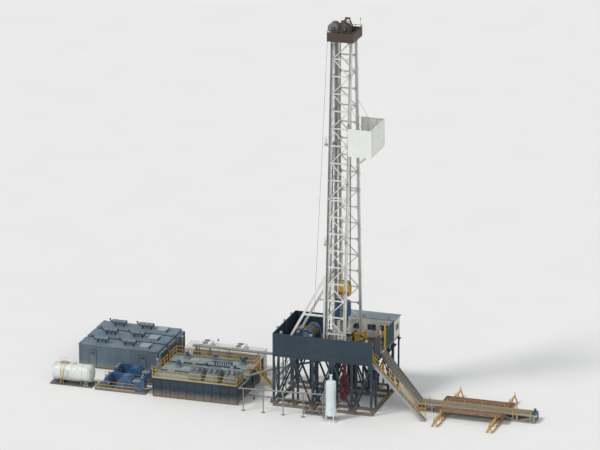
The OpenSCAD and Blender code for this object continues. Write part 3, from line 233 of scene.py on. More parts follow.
def paint(name, base, streak=0.3, chips=0.5, rust=0.5, dust=0.5, rough=0.45, spread=0.1,
          under=None, barrel=None, coat=0.0):
    """Weathered paint: faded patches, rain streaks, chipped edges, rust spots and ground dust."""
    g = Graph(name)
    if barrel:
        y, z, r, other = barrel
        across, down = (g.math("SUBTRACT", g.axis(key), c) for key, c in (("Y", y), ("Z", z)))
        reach = g.math("SQRT", g.math("ADD", g.times(across, across), g.times(down, down)))
        below = g.times(g.ramp(reach, r, r + 0.003), g.ramp(g.axis("Z"), z - 0.1, z - 0.2))
        base = g.mix(below, base, other)
        pale, dark = (g.mix(1.0, base, (k, k, k, 1), "MULTIPLY") for k in (1 + spread, 1 - spread))
    else:
        pale, dark = shade(base, 1 + spread * 0.6), shade(base, 1 - spread)
    broad = g.noise(0.45, 3)
    fine = g.noise(13, 6, 0.6)
    drips = g.noise(1.6, 6, 0.6, (2.6, 2.6, 0.18))
    spots = g.noise(5.5, 8, 0.68)
    colour = g.mix(g.ramp(broad, 0.36, 0.64), dark, pale)
    colour = g.mix(g.ramp(fine, 0.42, 0.78, 0, 0.22), colour, GRIME)
    colour = g.mix(g.ramp(drips, 0.5, 0.72, 0, streak), colour, GRIME)
    wear = g.times(g.edges(), g.ramp(fine, 0.42, 0.58, 0, chips))
    colour = g.mix(wear, colour, under or PRIMER)
    patch = g.times(g.times(g.ramp(spots, 0.6, 0.68), g.ramp(broad, 0.4, 0.66, 0.25, 1)), rust)
    colour = g.mix(patch, colour, RUST)
    low = g.times(g.ramp(g.axis("Z"), 0.0, 0.7, dust, 0), g.ramp(fine, 0.3, 0.6, 0.5, 1))
    colour = g.mix(low, colour, DUST)
    shine = g.ramp(fine, 0.3, 0.7, rough - 0.07, rough + 0.15)
    g.bump(g.math("ADD", fine, g.times(spots, 0.7)), 0.12, 0.006)
    return g.surface(colour, g.math("ADD", shine, g.times(patch, 0.3)), Coat_Weight=coat)


def steel(name, base, rough=0.4, rust=0.3, metal=1.0):
    """Bare steel with grain, stains and rust."""
    g = Graph(name)
    fine = g.noise(22, 6, 0.6)
    broad = g.noise(0.8, 4)
    spots = g.noise(4.0, 8, 0.7)
    colour = g.mix(g.ramp(fine, 0.3, 0.7), shade(base, 0.72), shade(base, 1.12))
    colour = g.mix(g.ramp(broad, 0.42, 0.7, 0, 0.45), colour, shade(base, 0.5))
    patch = g.ramp(spots, 0.52, 0.66, 0, rust)
    shine = g.ramp(fine, 0.25, 0.75, rough - 0.1, rough + 0.15)
    g.bump(fine, 0.15, 0.004)
    return g.surface(g.mix(patch, colour, RUST), g.math("ADD", shine, g.times(patch, 0.35)), metal)


def racked_pipe(name, base):
    """Drill pipe in a row, where each pipe has its own tone and its own share of rust."""
    g = Graph(name)
    y = g.axis("Y")
    row = g.math("FLOOR", g.math("SUBTRACT", g.math("DIVIDE", g.math("ABSOLUTE", y), PIPE_PITCH), 0.184))
    row = g.math("ADD", row, g.times(g.math("GREATER_THAN", y, 0.0), 17.0))
    own = g.nodes.new("ShaderNodeTexWhiteNoise")
    own.noise_dimensions = "1D"
    g.put(own.inputs["W"], row)
    tone = own.outputs["Value"]
    grain = g.noise(9, 6, 0.62, (0.35, 4, 4))
    spots = g.noise(5.0, 8, 0.7)
    colour = g.mix(g.ramp(tone, 0.0, 1.0), shade(base, 0.55), shade(base, 1.5))
    colour = g.mix(g.ramp(grain, 0.35, 0.7, 0, 0.6), colour, shade(base, 0.4))
    share = g.ramp(g.math("FRACT", g.times(tone, 7.3)), 0.0, 1.0, 0.2, 0.9)
    patch = g.times(g.ramp(spots, 0.46, 0.66), share)
    shine = g.math("ADD", g.ramp(grain, 0.3, 0.7, 0.42, 0.66), g.times(patch, 0.2))
    g.bump(grain, 0.25, 0.003)
    return g.surface(g.mix(patch, colour, RUST), shine, 0.55)


def deck_plate(name, base, seam=0.6):
    """Raised-pattern floor plate with seams, worn paths and mud."""
    g = Graph(name)
    sheets = g.node("TexBrick", Vector=g.place(), Scale=1.0, Mortar_Size=0.008, Mortar_Smooth=0.1,
                    Brick_Width=seam * 2, Row_Height=seam, Color1=shade(base, 0.9),
                    Color2=shade(base, 1.12), Mortar=shade(base, 0.35))
    cells = g.node("TexVoronoi", Vector=g.place((26, 26, 26), (0, 0, 0.785)), Scale=1.0, Randomness=0.0)
    broad = g.noise(0.9, 5, 0.6)
    fine = g.noise(11, 6, 0.6)
    colour = g.mix(g.ramp(broad, 0.45, 0.7, 0, 0.6), sheets, screen(116, 104, 88))
    colour = g.mix(g.ramp(fine, 0.5, 0.75, 0, 0.35), colour, screen(52, 46, 40))
    colour = g.mix(g.ramp(cells, 0.34, 0.2, 0, 0.3), colour, screen(150, 146, 140))
    g.bump(g.math("ADD", g.ramp(cells, 0.34, 0.2), g.times(fine, 0.6)), 0.35, 0.004)
    return g.surface(colour, g.ramp(broad, 0.3, 0.7, 0.42, 0.75), 0.35)


def timber(name, base):
    """Weathered planks with grain along X."""
    g = Graph(name)
    grain = g.noise(9, 7, 0.62, (0.25, 3.2, 3.2))
    broad = g.noise(1.3, 3)
    colour = g.mix(g.ramp(grain, 0.35, 0.68), shade(base, 0.55), shade(base, 1.15))
    colour = g.mix(g.ramp(broad, 0.45, 0.7, 0, 0.4), colour, screen(72, 62, 52))
    g.bump(grain, 0.5, 0.006)
    return g.surface(colour, 0.82)


def window_glass(name):
    """Hazy panes that let some of the room show."""
    g = Graph(name)
    haze = g.noise(3.0, 5)
    colour = g.mix(g.ramp(haze, 0.3, 0.7), screen(54, 72, 82), screen(96, 116, 124))
    return g.surface(colour, g.ramp(haze, 0.35, 0.75, 0.04, 0.22), Alpha=0.62, Specular_IOR_Level=0.8)


def lamp_glass(name):
    """Ribbed lens of a floodlight."""
    g = Graph(name)
    ribs = g.noise(60, 2)
    g.bump(ribs, 0.3, 0.002)
    return g.surface(g.mix(ribs, screen(214, 216, 206), screen(246, 246, 238)), 0.12)


def wire_rope(name, base):
    """Strands wound round a rope."""
    g = Graph(name)
    strands = g.node("TexWave", "Fac", Vector=g.place((1, 1, 0.6), (0.6, 0.3, 0)), Scale=26, Distortion=0.4)
    fine = g.noise(40, 4)
    colour = g.mix(g.ramp(strands, 0.2, 0.8), shade(base, 0.5), shade(base, 1.4))
    g.bump(strands, 0.5, 0.004)
    return g.surface(g.mix(g.ramp(fine, 0.5, 0.8, 0, 0.5), colour, screen(40, 34, 28)), 0.5, 0.7)


NAVY = screen(28, 49, 64)
M = {
    "mast": paint("mast_paint", screen(214, 214, 208), 0.34, 0.9, 0.42, 0, 0.42, under=RUST),
    "crown": paint("crown_paint", screen(74, 56, 48), 0.2, 0.6, 0.5, 0, 0.5),
    "navy": paint("navy_paint", NAVY, 0.25, 0.8, 0.3, 0.55, 0.45, spread=0.16),
    "wall": paint("wind_wall_paint", screen(31, 54, 70), 0.26, 0.7, 0.18, 0, 0.5, spread=0.12),
    "white": paint("white_sheet", screen(236, 236, 231), 0.12, 0.4, 0.12, 0, 0.4, spread=0.05),
    "cream": paint("cream_paint", screen(226, 222, 211), 0.07, 0.5, 0.1, 0.3, 0.4, spread=0.04),
    "roof": paint("roof_paint", screen(146, 158, 164), 0.12, 0.5, 0.2, 0.2, 0.5),
    "house": paint("house_paint", screen(98, 116, 128), 0.3, 0.6, 0.22, 0.5, 0.45, spread=0.12),
    "vessel": paint("vessel_paint", screen(218, 226, 228), 0.3, 0.5, 0.22, 0.35, 0.35, coat=0.2),
    "yellow": paint("safety_paint", screen(206, 158, 44), 0.2, 0.9, 0.3, 0.5, 0.42),
    "blue": paint("machine_paint", screen(44, 86, 124), 0.22, 0.8, 0.25, 0.4, 0.38, coat=0.15),
    "grey": paint("grey_paint", screen(128, 132, 132), 0.25, 0.8, 0.3, 0.4, 0.45),
    "dark": paint("dark_paint", screen(46, 48, 50), 0.15, 0.8, 0.3, 0.5, 0.5),
    "red": paint("red_paint", screen(160, 44, 34), 0.25, 0.7, 0.2, 0.45, 0.4, coat=0.15),
    "tank": paint("tank_paint", screen(32, 52, 66), 0.4, 0.8, 0.4, 0.6, 0.5, spread=0.16),
    "gantry": paint("tank_top_paint", screen(132, 144, 140), 0.1, 0.6, 0.35, 0, 0.55, spread=0.14),
    "fuel": paint("fuel_paint", screen(206, 208, 202), 0.34, 0.5, 0.3, 0.3, 0.4,
                  barrel=(*FUEL_TANK[1:], 0.632, NAVY)),
    "steel": steel("worn_steel", screen(146, 146, 146), 0.44, 0.35, metal=0.75),
    "bright": steel("bright_steel", screen(190, 190, 188), 0.34, 0.1, metal=0.6),
    "galv": steel("galvanised_steel", screen(176, 180, 182), 0.5, 0.12, metal=0.75),
    "rusty": steel("rusty_steel", screen(120, 92, 74), 0.66, 0.85, metal=0.5),
    "pipe": racked_pipe("pipe_steel", screen(122, 100, 84)),
    "exhaust": steel("exhaust_steel", screen(104, 96, 90), 0.62, 0.6, metal=0.7),
    "deck": deck_plate("floor_plate", screen(96, 96, 96)),
    "wood": timber("oak_mat", screen(150, 116, 78)),
    "glass": window_glass("window_glass"),
    "lamp": lamp_glass("lamp_glass"),
    "rope": wire_rope("wire_rope", screen(96, 94, 90)),
}


# Mesh building


class Parts:
    """Collects closed forms into one mesh. Points count from the place that at() sets."""

    def __init__(self):
        self.verts, self.faces, self.mats, self.smooth = [], [], [], []
        self.origin = Vector((0, 0, 0))

    def at(self, x=0.0, y=0.0, z=0.0):
        self.origin = Vector((x, y, z))

    def add(self, verts, faces, mat, smooth=False):
        """Takes in one closed form. smooth is one value or one for each face."""
        base = len(self.verts)
        self.verts += [tuple(self.origin + Vector(p)) for p in verts]
        self.faces += [[base + i for i in face] for face in faces]
        self.mats += [mat] * len(faces)
        self.smooth += smooth if isinstance(smooth, list) else [smooth] * len(faces)

    def hexa(self, corners, mat):
        """A block from its 4 lower and 4 upper corners."""
        sides = [(k, (k + 1) % 4, (k + 1) % 4 + 4, k + 4) for k in range(4)]
        self.add(corners, [(3, 2, 1, 0), (4, 5, 6, 7)] + sides, mat)

    def box(self, a, b, mat):
        """A block between two opposite corners."""
        (x0, x1), (y0, y1), (z0, z1) = (sorted(pair) for pair in zip(a, b))
        self.hexa([(x, y, z) for z in (z0, z1) for x, y in ((x0, y0), (x1, y0), (x1, y1), (x0, y1))], mat)

    def cube(self, centre, size, mat):
        c, h = Vector(centre), Vector(size) / 2
        self.box(c - h, c + h, mat)

    def stand(self, at, size, mat):
        """A block that stands on the point under its centre."""
        self.cube(Vector(at) + UP * size[2] / 2, size, mat)

    def slats(self, axis, places, half, lo, hi, mat):
        """Equal bars at places along an axis, where lo and hi limit the other two axes."""
        for c in places:
            self.box((*lo[:axis], c - half, *lo[axis:]), (*hi[:axis], c + half, *hi[axis:]), mat)

    def beam(self, p, q, w, h, mat, up=(0, 0, 1)):
        """A bar from p to q, w wide across and h deep along up."""
        p, q = Vector(p), Vector(q)
        d = (q - p).normalized()
        side = d.cross(Vector(up))
        if side.length < 1e-4:
            side = d.cross(Vector((1, 0, 0)))
        side.normalize()
        top = side.cross(d) * h / 2
        side = side * w / 2
        ring = [side - top, -side - top, -side + top, side + top]
        self.hexa([p + r for r in ring] + [q + r for r in ring], mat)

    def tube(self, p, q, r, mat, n=12, r2=None):
        """A closed cylinder or cone from p to q."""
        self.sweep([p, q], [r, r if r2 is None else r2], mat, n)

    def rod(self, at, way, r, mat, n=12):
        """A closed cylinder from a point on, as far as way."""
        self.tube(at, Vector(at) + Vector(way), r, mat, n)

    def studs(self, centre, axis, reach, n, lo, hi, r, mat, sides=6):
        """n bolts on a circle round an axis, from lo to hi along it."""
        for place in circle(reach, n, axis):
            ends = (Vector(centre) + place + Vector(AXES[axis]) * t for t in (lo, hi))
            self.tube(*ends, r, mat, sides)

    def sweep(self, points, radii, mat, n=10):
        """A round bar along points, with a radius for each or one for all."""
        pts = [Vector(p) for p in points]
        if not isinstance(radii, (list, tuple)):
            radii = [radii] * len(pts)
        d = (pts[1] - pts[0]).normalized()
        ref = UP if abs(d.z) < 0.9 else Vector((1, 0, 0))
        u = d.cross(ref).normalized()
        verts, last = [], d
        for i, p in enumerate(pts):
            ahead = (pts[min(i + 1, len(pts) - 1)] - p) if i < len(pts) - 1 else p - pts[i - 1]
            behind = p - pts[i - 1] if i else ahead
            now = (ahead.normalized() + behind.normalized()).normalized()
            u = (last.rotation_difference(now) @ u).normalized()
            last = now
            w = now.cross(u)
            verts += [p + u * c.x + w * c.y for c in circle(radii[i], n)]
        faces, smooth = [tuple(reversed(range(n)))], [False]
        for i in range(len(pts) - 1):
            for k in range(n):
                a, b = i * n + k, i * n + (k + 1) % n
                faces.append((a, b, b + n, a + n))
                smooth.append(n > 6)
        faces.append(tuple(range((len(pts) - 1) * n, len(pts) * n)))
        smooth.append(False)
        self.add(verts, faces, mat, smooth)

    def plate(self, outline, origin, u, v, t, mat):
        """A flat plate: outline points along u and v, t thick, centred on its plane."""
        o, u, v = Vector(origin), Vector(u).normalized(), Vector(v).normalized()
        w = u.cross(v).normalized() * t / 2
        n = len(outline)
        if sum(a0 * b1 - a1 * b0 for (a0, b0), (a1, b1) in zip(outline, outline[1:] + outline[:1])) < 0:
            outline = outline[::-1]
        low, high = ([o + u * a + v * b + off for a, b in outline] for off in (-w, w))
        faces = [tuple(reversed(range(n))), tuple(range(n, 2 * n))]
        faces += [(k, (k + 1) % n, n + (k + 1) % n, n + k) for k in range(n)]
        self.add(low + high, faces, mat)

    def flange(self, centre, axis, r, t, mat, bolts=8):
        """A round flange, with nuts on both faces."""
        c, a = Vector(centre), Vector(axis).normalized()
        self.tube(c - a * t / 2, c + a * t / 2, r, mat, 18)
        u = a.orthogonal().normalized()
        w = a.cross(u)
        out = a * (t / 2 + 0.012)
        for turn in circle(r * 0.8, bolts):
            p = c + u * turn.x + w * turn.y
            self.tube(p - out, p + out, r * 0.09, mat, 6)

    def rail(self, points, height, mat, pitch=0.75, r=0.014):
        """A handrail along floor points."""
        pts = [Vector(p) for p in points]
        for i, (a, b) in enumerate(zip(pts, pts[1:])):
            n = max(1, round((b - a).length / pitch))
            for k in range(1 if i else 0, n + 1):
                self.rod(a.lerp(b, k / n), UP * height, r, mat, 8)
            for z in (height, height / 2):
                self.tube(a + UP * z, b + UP * z, r, mat, 8)
            self.beam(a + UP * 0.04, b + UP * 0.04, 0.006, 0.07, mat)

    def lamp(self, at, aim, mat, size):
        """A floodlight on a bracket at a point, aimed along a direction."""
        p, d = Vector(at), Vector(aim).normalized()
        self.beam(p, p + UP * 0.07, 0.03, 0.02, mat, (1, 0, 0))
        c = p + UP * 0.12
        self.beam(c - d * 0.05, c + d * 0.03, size, size * 0.75, mat)
        self.beam(c + d * 0.03, c + d * 0.036, size * 0.86, size * 0.6, "lamp")
        for k in range(4):
            fin = c - d * (0.05 + 0.012 * k)
            self.beam(fin - d * 0.004, fin, size * 0.7, size * 0.5, mat)


def make(name, build, body="rig", replaces=()):
    """Builds one piece, which rides on a body."""
    parts = Parts()
    build(parts)
    mesh = bpy.data.meshes.new(name)
    mesh.from_pydata(parts.verts, [], parts.faces)
    materials = list(dict.fromkeys(parts.mats))
    for key in materials:
        mesh.materials.append(M[key])
    mesh.polygons.foreach_set("material_index", [materials.index(key) for key in parts.mats])
    mesh.polygons.foreach_set("use_smooth", parts.smooth)
    mesh.update()
    obj = bpy.data.objects.new(name, mesh)
    bpy.context.scene.collection.objects.link(obj)
    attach(obj, body)
    if replaces:
        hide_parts(*replaces)
    return obj


def rib(p, x, y, out, z0, z1, mat, width=0.065, depth=0.018):
    """A pressed upright rib on a wall that faces along out."""
    along = Vector((-out[1], out[0], 0))
    section = [(-width / 2, 0), (width / 2, 0), (width * 0.3, depth), (-width * 0.3, depth)]
    p.plate(section, (x, y, (z0 + z1) / 2), along, out, z1 - z0, mat)


# CAD nodes keep their shape and get these materials
for key, names in {
    "mast": ("raising_frame", "mast_shoes", "mast_lower_near", "mast_lower_far", "mast_lower_back",
             "mast_upper_near", "mast_upper_far", "mast_upper_back", "racking_board", "mast_ladder"),
    "crown": ("crown_frame", "crown_rail"),
    "navy": ("substructure_near", "substructure_far", "cross_beams", "doghouse_base"),
    "wall": ("wind_walls",),
    "deck": ("floor_deck",),
    "steel": ("rotary_table", "drawworks_drum", "crown_sheaves", "guide_rail", "pipe_ramp"),
    "galv": ("stairs",),
    "yellow": ("stair_rails", "tank_rails", "pipe_racks", "travelling_block"),
    "cream": ("doghouse_walls", "control_house"),
    "roof": ("doghouse_roof",),
    "blue": ("drawworks", "top_drive", "mud_pumps"),
    "white": ("racking_wind_wall",),
    "rope": ("hoist_lines", "fast_and_dead_line"),
    "red": ("blowout_preventer",),
    "grey": ("flow_line", "choke_manifold", "separator_line", "mud_line", "catwalk"),
    "vessel": ("gas_separator", "separator_heads"),
    "tank": ("mud_tanks",),
    "gantry": ("tank_decks", "shale_shakers"),
    "house": ("generator_houses",),
    "fuel": ("fuel_tank", "fuel_tank_ends"),
    "pipe": ("rack_pipes",),
}.items():
    for name in names:
        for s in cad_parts[name].material_slots:
            s.material = M[key]

# Camera, floor and light

target = Vector((-3.3, 0.4, 12.0))
azimuth, elevation, far = math.radians(18), math.radians(18), 360.0
look = Vector((math.sin(azimuth) * math.cos(elevation), -math.cos(azimuth) * math.cos(elevation),
               math.sin(elevation)))
camera_data = bpy.data.cameras.new("camera")
camera_data.lens = 322
camera_data.clip_end = 2000
camera = bpy.data.objects.new("camera", camera_data)
bpy.context.scene.collection.objects.link(camera)
camera.location = target + look * far
camera.rotation_euler = look.to_track_quat("Z", "Y").to_euler()
bpy.context.scene.camera = camera


def studio():
    """A pale floor, a soft key light from the upper left and an even sky."""
    mesh = bpy.data.meshes.new("floor")
    r = 900
    mesh.from_pydata([(-r, -r, 0), (r, -r, 0), (r, r, 0), (-r, r, 0)], [], [(0, 1, 2, 3)])
    floor = bpy.data.objects.new("floor", mesh)
    bpy.context.scene.collection.objects.link(floor)
    g = Graph("studio_floor")
    tone = g.noise(0.2, 3)
    g.put(g.shader.inputs["Base Color"], g.mix(tone, screen(226, 224, 220), screen(232, 230, 226)))
    g.shader.inputs["Roughness"].default_value = 0.95
    mesh.materials.append(g.mat)
    world = bpy.data.worlds.new("sky")
    world.use_nodes = True
    back = world.node_tree.nodes["Background"]
    back.inputs["Color"].default_value = (0.9, 0.95, 1.0, 1)
    back.inputs["Strength"].default_value = 0.62
    bpy.context.scene.world = world
    lights = (("key", (0.55, 0.6, -1.0), 1.75, 14), ("fill", (-0.8, 0.9, -0.5), 0.45, 40))
    for name, aim, power, soft in lights:
        data = bpy.data.lights.new(name, "SUN")
        data.energy = power
        data.angle = math.radians(soft)
        lamp = bpy.data.objects.new(name, data)
        lamp.rotation_euler = (-Vector(aim)).to_track_quat("Z", "Y").to_euler()
        bpy.context.scene.collection.objects.link(lamp)


studio()

# Mast


def mast_details(p):
    """Gussets with bolts at the joints, splice bolts, foot pins and stiffeners in the legs."""
    splice = (LOWER[-1], UPPER[0])
    for s in (-1, 1):
        lean = Vector((0, -s * LEAN, 1))
        for z in LOWER + UPPER:
            h = 0.074 if z in splice else 0.13
            for x, way in ((LEG_BACK + 0.09, 1), (LEG_FRONT - 0.09, -1)):
                for side in (-1, 1):
                    y = s * half_w(z) + side * 0.047
                    p.plate(gusset(h, 0.16), (x, y, z), (way, 0, 0), lean, 0.012, "mast")
                    for dx, dz in ((0.03, 0.05 - h), (0.03, h - 0.05), (0.12, 0)):
                        at = (x + way * dx, y - s * LEAN * dz, z + dz)
                        p.rod(at, (0, side * 0.016, 0), 0.012, "mast", 6)
            for x in (LEG_BACK, LEG_FRONT):
                for side in (-1, 1):
                    p.cube((x, s * half_w(z) + side * 0.05, z), (0.132, 0.076, 0.012), "mast")
    crossing = [(-0.13, -0.1), (-0.13, 0.03), (0.13, 0.03), (0.13, -0.1), (0.06, -0.16), (-0.06, -0.16)]
    for z in LOWER[2:] + UPPER:
        for x in (LEG_BACK - 0.046, LEG_BACK + 0.046):
            for s in (-1, 1):
                outline = gusset(0.07 if z in splice else 0.12, 0.17)
                p.plate(outline, (x, s * (half_w(z) - 0.02), z), (0, -s, 0), UP, 0.012, "mast")
            if x < LEG_BACK and z != UPPER[0]:
                p.plate(crossing, (x, 0, z), (0, 1, 0), UP, 0.012, "mast")
    for s in (-1, 1):
        y = s * half_w(SPLICE)
        for x in (LEG_BACK, LEG_FRONT):
            for dx in (-0.1, 0.1):
                for dy in (-0.1, 0.1):
                    p.rod((x + dx, y + dy, SPLICE - 0.05), UP * 0.102, 0.015, "mast", 6)
            p.at(x, s * FOOT_HALF, FLOOR + 0.15)
            p.tube((0, -0.11, 0), (0, 0.11, 0), 0.044, "bright", 16)
            for e in (-0.115, 0.1):
                p.rod((0, e, 0), (0, 0.015, 0), 0.06, "bright", 16)
            p.at()


def mast_services(p):
    """Service pipes, their clamps and lamps on the legs."""
    low, high = 4.25, 25.1
    for s, x in ((-1, LEG_BACK), (1, LEG_BACK), (1, LEG_FRONT)):
        for dx, r in ((-0.042, 0.016), (0.0, 0.02), (0.042, 0.016)):
            ends = ((x + dx, s * (half_w(z) + 0.045), z) for z in (low, high))
            p.tube(*ends, r, "grey", 8)
        for z in spread(4.8, 24.6, 18):
            p.cube((x, s * (half_w(z) + 0.072), z), (0.176, 0.012, 0.036), "galv")
    for s in (-1, 1):
        for z, legs in ((8.2, 1), (11.6, 2), (15.6, 1), (19.6, 1), (23.0, 1)):
            for x in (LEG_FRONT, LEG_BACK)[:legs]:
                p.at(x, s * half_w(z), z)
                p.beam((0, s * 0.08, 0), (0, s * 0.24, 0), 0.03, 0.03, "galv")
                p.lamp((0, s * 0.2, 0), (0.2, s * 0.15, -1), "galv", 0.17)


def ladder_cage(p):
    """Hoops and straps round the ladder, and its two rest platforms."""
    p.at(-0.8305, 0.26)
    arc = [polar(-0.19, math.pi / 2 - a) for a in spread(0, math.pi, 10)]
    for z in spread(6.0, 25.1, 32):
        for a, b in zip(arc, arc[1:]):
            p.beam(a + UP * z, b + UP * z, 0.008, 0.034, "mast")
    for k in (1, 3, 5, 7, 9):
        broad = (0, 1, 0) if k == 5 else (1, 0, 0)
        p.beam(arc[k] + UP * 5.9, arc[k] + UP * 25.2, 0.024, 0.006, "mast", broad)
    for z in (11.0, RACK):
        p.box((-0.5, -0.75, z - 0.02), (-0.01, -0.21, z + 0.004), "galv")
        p.rail([(-0.49, -0.22, z), (-0.49, -0.74, z), (-0.03, -0.74, z)], 0.5, "mast", 0.3, 0.01)


def crown_details(p):
    """Grating, sheave guards, stiffeners, bumpers and bearings of the crown."""
    p.at(z=CROWN)
    for y0, y1 in ((-0.9, -0.7), (0.7, 0.9)):
        p.slats(0, spread(-0.9, 0.75, 46), 0.003, (y0 - 0.02, 0), (y1 + 0.02, 0.022), "galv")
        p.slats(1, spread(y0, y1, 4), 0.003, (-0.92, 0.008), (0.77, 0.016), "galv")
    for y in (-1.003, 0.997):
        p.slats(0, spread(-0.95, 0.8, 7), 0.008, (y, -0.19), (y + 0.006, -0.01), "crown")
    for y0, y1 in ((-1.012, -0.958), (0.958, 1.012)):
        for z in (-0.204, -0.009):
            p.box((-0.994, y0, z), (0.844, y1, z + 0.012), "crown")
    # Pole with the warning light
    p.rod((0.75, 0.9, 0), UP * 0.95, 0.014, "galv", 8)
    p.rod((0.75, 0.9, 0.95), UP * 0.07, 0.035, "red", 12)
    # Guards, bearing caps and end covers round the sheaves' shaft
    p.at(z=SHAFT)
    sweep = spread(-0.2, 3.34, 20)
    arc = [polar(0.455, a).xy for a in sweep] + [polar(0.405, a).xy for a in reversed(sweep)]
    for y in (-0.273, 0.273):
        p.plate(arc, (0, y, 0), (1, 0, 0), UP, 0.02, "crown")
    for a in spread(0.3, 2.84, 4):
        across(p.beam, polar(0.44, a, 1), 0.276, 0.04, 0.02, "crown")
    for y in (-0.22, 0.22):
        for x in (-0.07, 0.07):
            p.rod((x, y, 0.06), UP * 0.055, 0.014, "bright", 6)
        p.rod((0, math.copysign(0.26, y), 0), (0, math.copysign(0.025, y), 0), 0.075, "bright", 20)
    # Lifting sheave on top
    p.tube((-0.03, 0, 0.4595), (0.03, 0, 0.4595), 0.085, "bright", 18)
    p.beam((0, 0, 0.4595), (0, 0, 0.5695), 0.05, 0.02, "crown", (1, 0, 0))
    # Timber bumpers under the crown
    p.at(z=CROWN - 0.4005)
    for y in (-0.3, 0.3):
        p.box((-0.62, y - 0.06, 0.02), (0.42, y + 0.06, 0.195), "wood")
        p.slats(0, (-0.5, -0.1, 0.3), 0.02, (y - 0.068, 0), (y + 0.068, 0.198), "crown")


def racking_details(p):
    """Ribs and posts of the wind walls, latches, grating and stays of the racking board."""
    p.at(z=RACK)
    low, high = -0.25, 1.65
    for y in spread(-1.44, 1.44, 24):
        rib(p, RACK_OUT + 0.0305, y, (1, 0, 0), low, high, "white")
    for s in (-1, 1):
        for x in spread(RACK_IN + 0.07, RACK_OUT - 0.07, 12):
            rib(p, x, s * 1.5295, (0, s, 0), low, high, "white")
        posts = (RACK_IN + 0.03, 1.15, 1.7, RACK_OUT - 0.03)
        p.slats(0, posts, 0.025, (s * 1.45, 0), (s * 1.5, high - 0.02), "mast")
        p.box((RACK_IN, s * 1.5, high - 0.06), (RACK_OUT, s * 1.455, high - 0.01), "mast")
        p.box((RACK_IN, s * 1.5, 0.55), (RACK_OUT, s * 1.46, 0.6), "mast")
        # Safety latches at the finger tips, and chain
        for i in range(15):
            x = RACK_IN + 0.08 + (i + 0.5) * 0.096
            p.box((x - 0.02, s * 0.352, 0), (x + 0.02, s * 0.43, 0.025), "yellow")
            p.rod((x + 0.01, s * 0.39, 0.02), (0.045, 0, 0), 0.008, "galv", 6)
            if i % 3 == 0:
                p.box((x - 0.012, s * 0.8, 0), (x + 0.012, s * 1.4, 0.012), "yellow")
        # Stay rods up to the legs, and a lamp
        for x, z in ((RACK_OUT - 0.12, 3.0), (1.4, 1.3)):
            p.tube((x, s * 1.46, 0), (LEG_FRONT + 0.09, s * half_w(RACK + z), z), 0.012, "galv", 8)
        p.lamp((RACK_OUT - 0.2, s * 1.3, -0.3), -UP, "galv", 0.16)
    p.slats(1, spread(-1.4, 1.4, 5), 0.025, (RACK_OUT - 0.05, 0), (RACK_OUT, high - 0.02), "mast")
    for z in (high - 0.06, 0.55):
        p.box((RACK_OUT, -1.45, z), (RACK_OUT - 0.045, 1.45, z + 0.05), "mast")
    # Walkway grating of the diving board
    p.slats(0, spread(RACK_IN + 0.1, RACK_OUT - 0.1, 40), 0.003, (-0.21, 0), (0.21, 0.012), "galv")
    p.slats(1, (-0.2, 0.0, 0.2), 0.005, (RACK_IN + 0.08, 0), (RACK_OUT - 0.08, 0.014), "galv")


# Drill floor


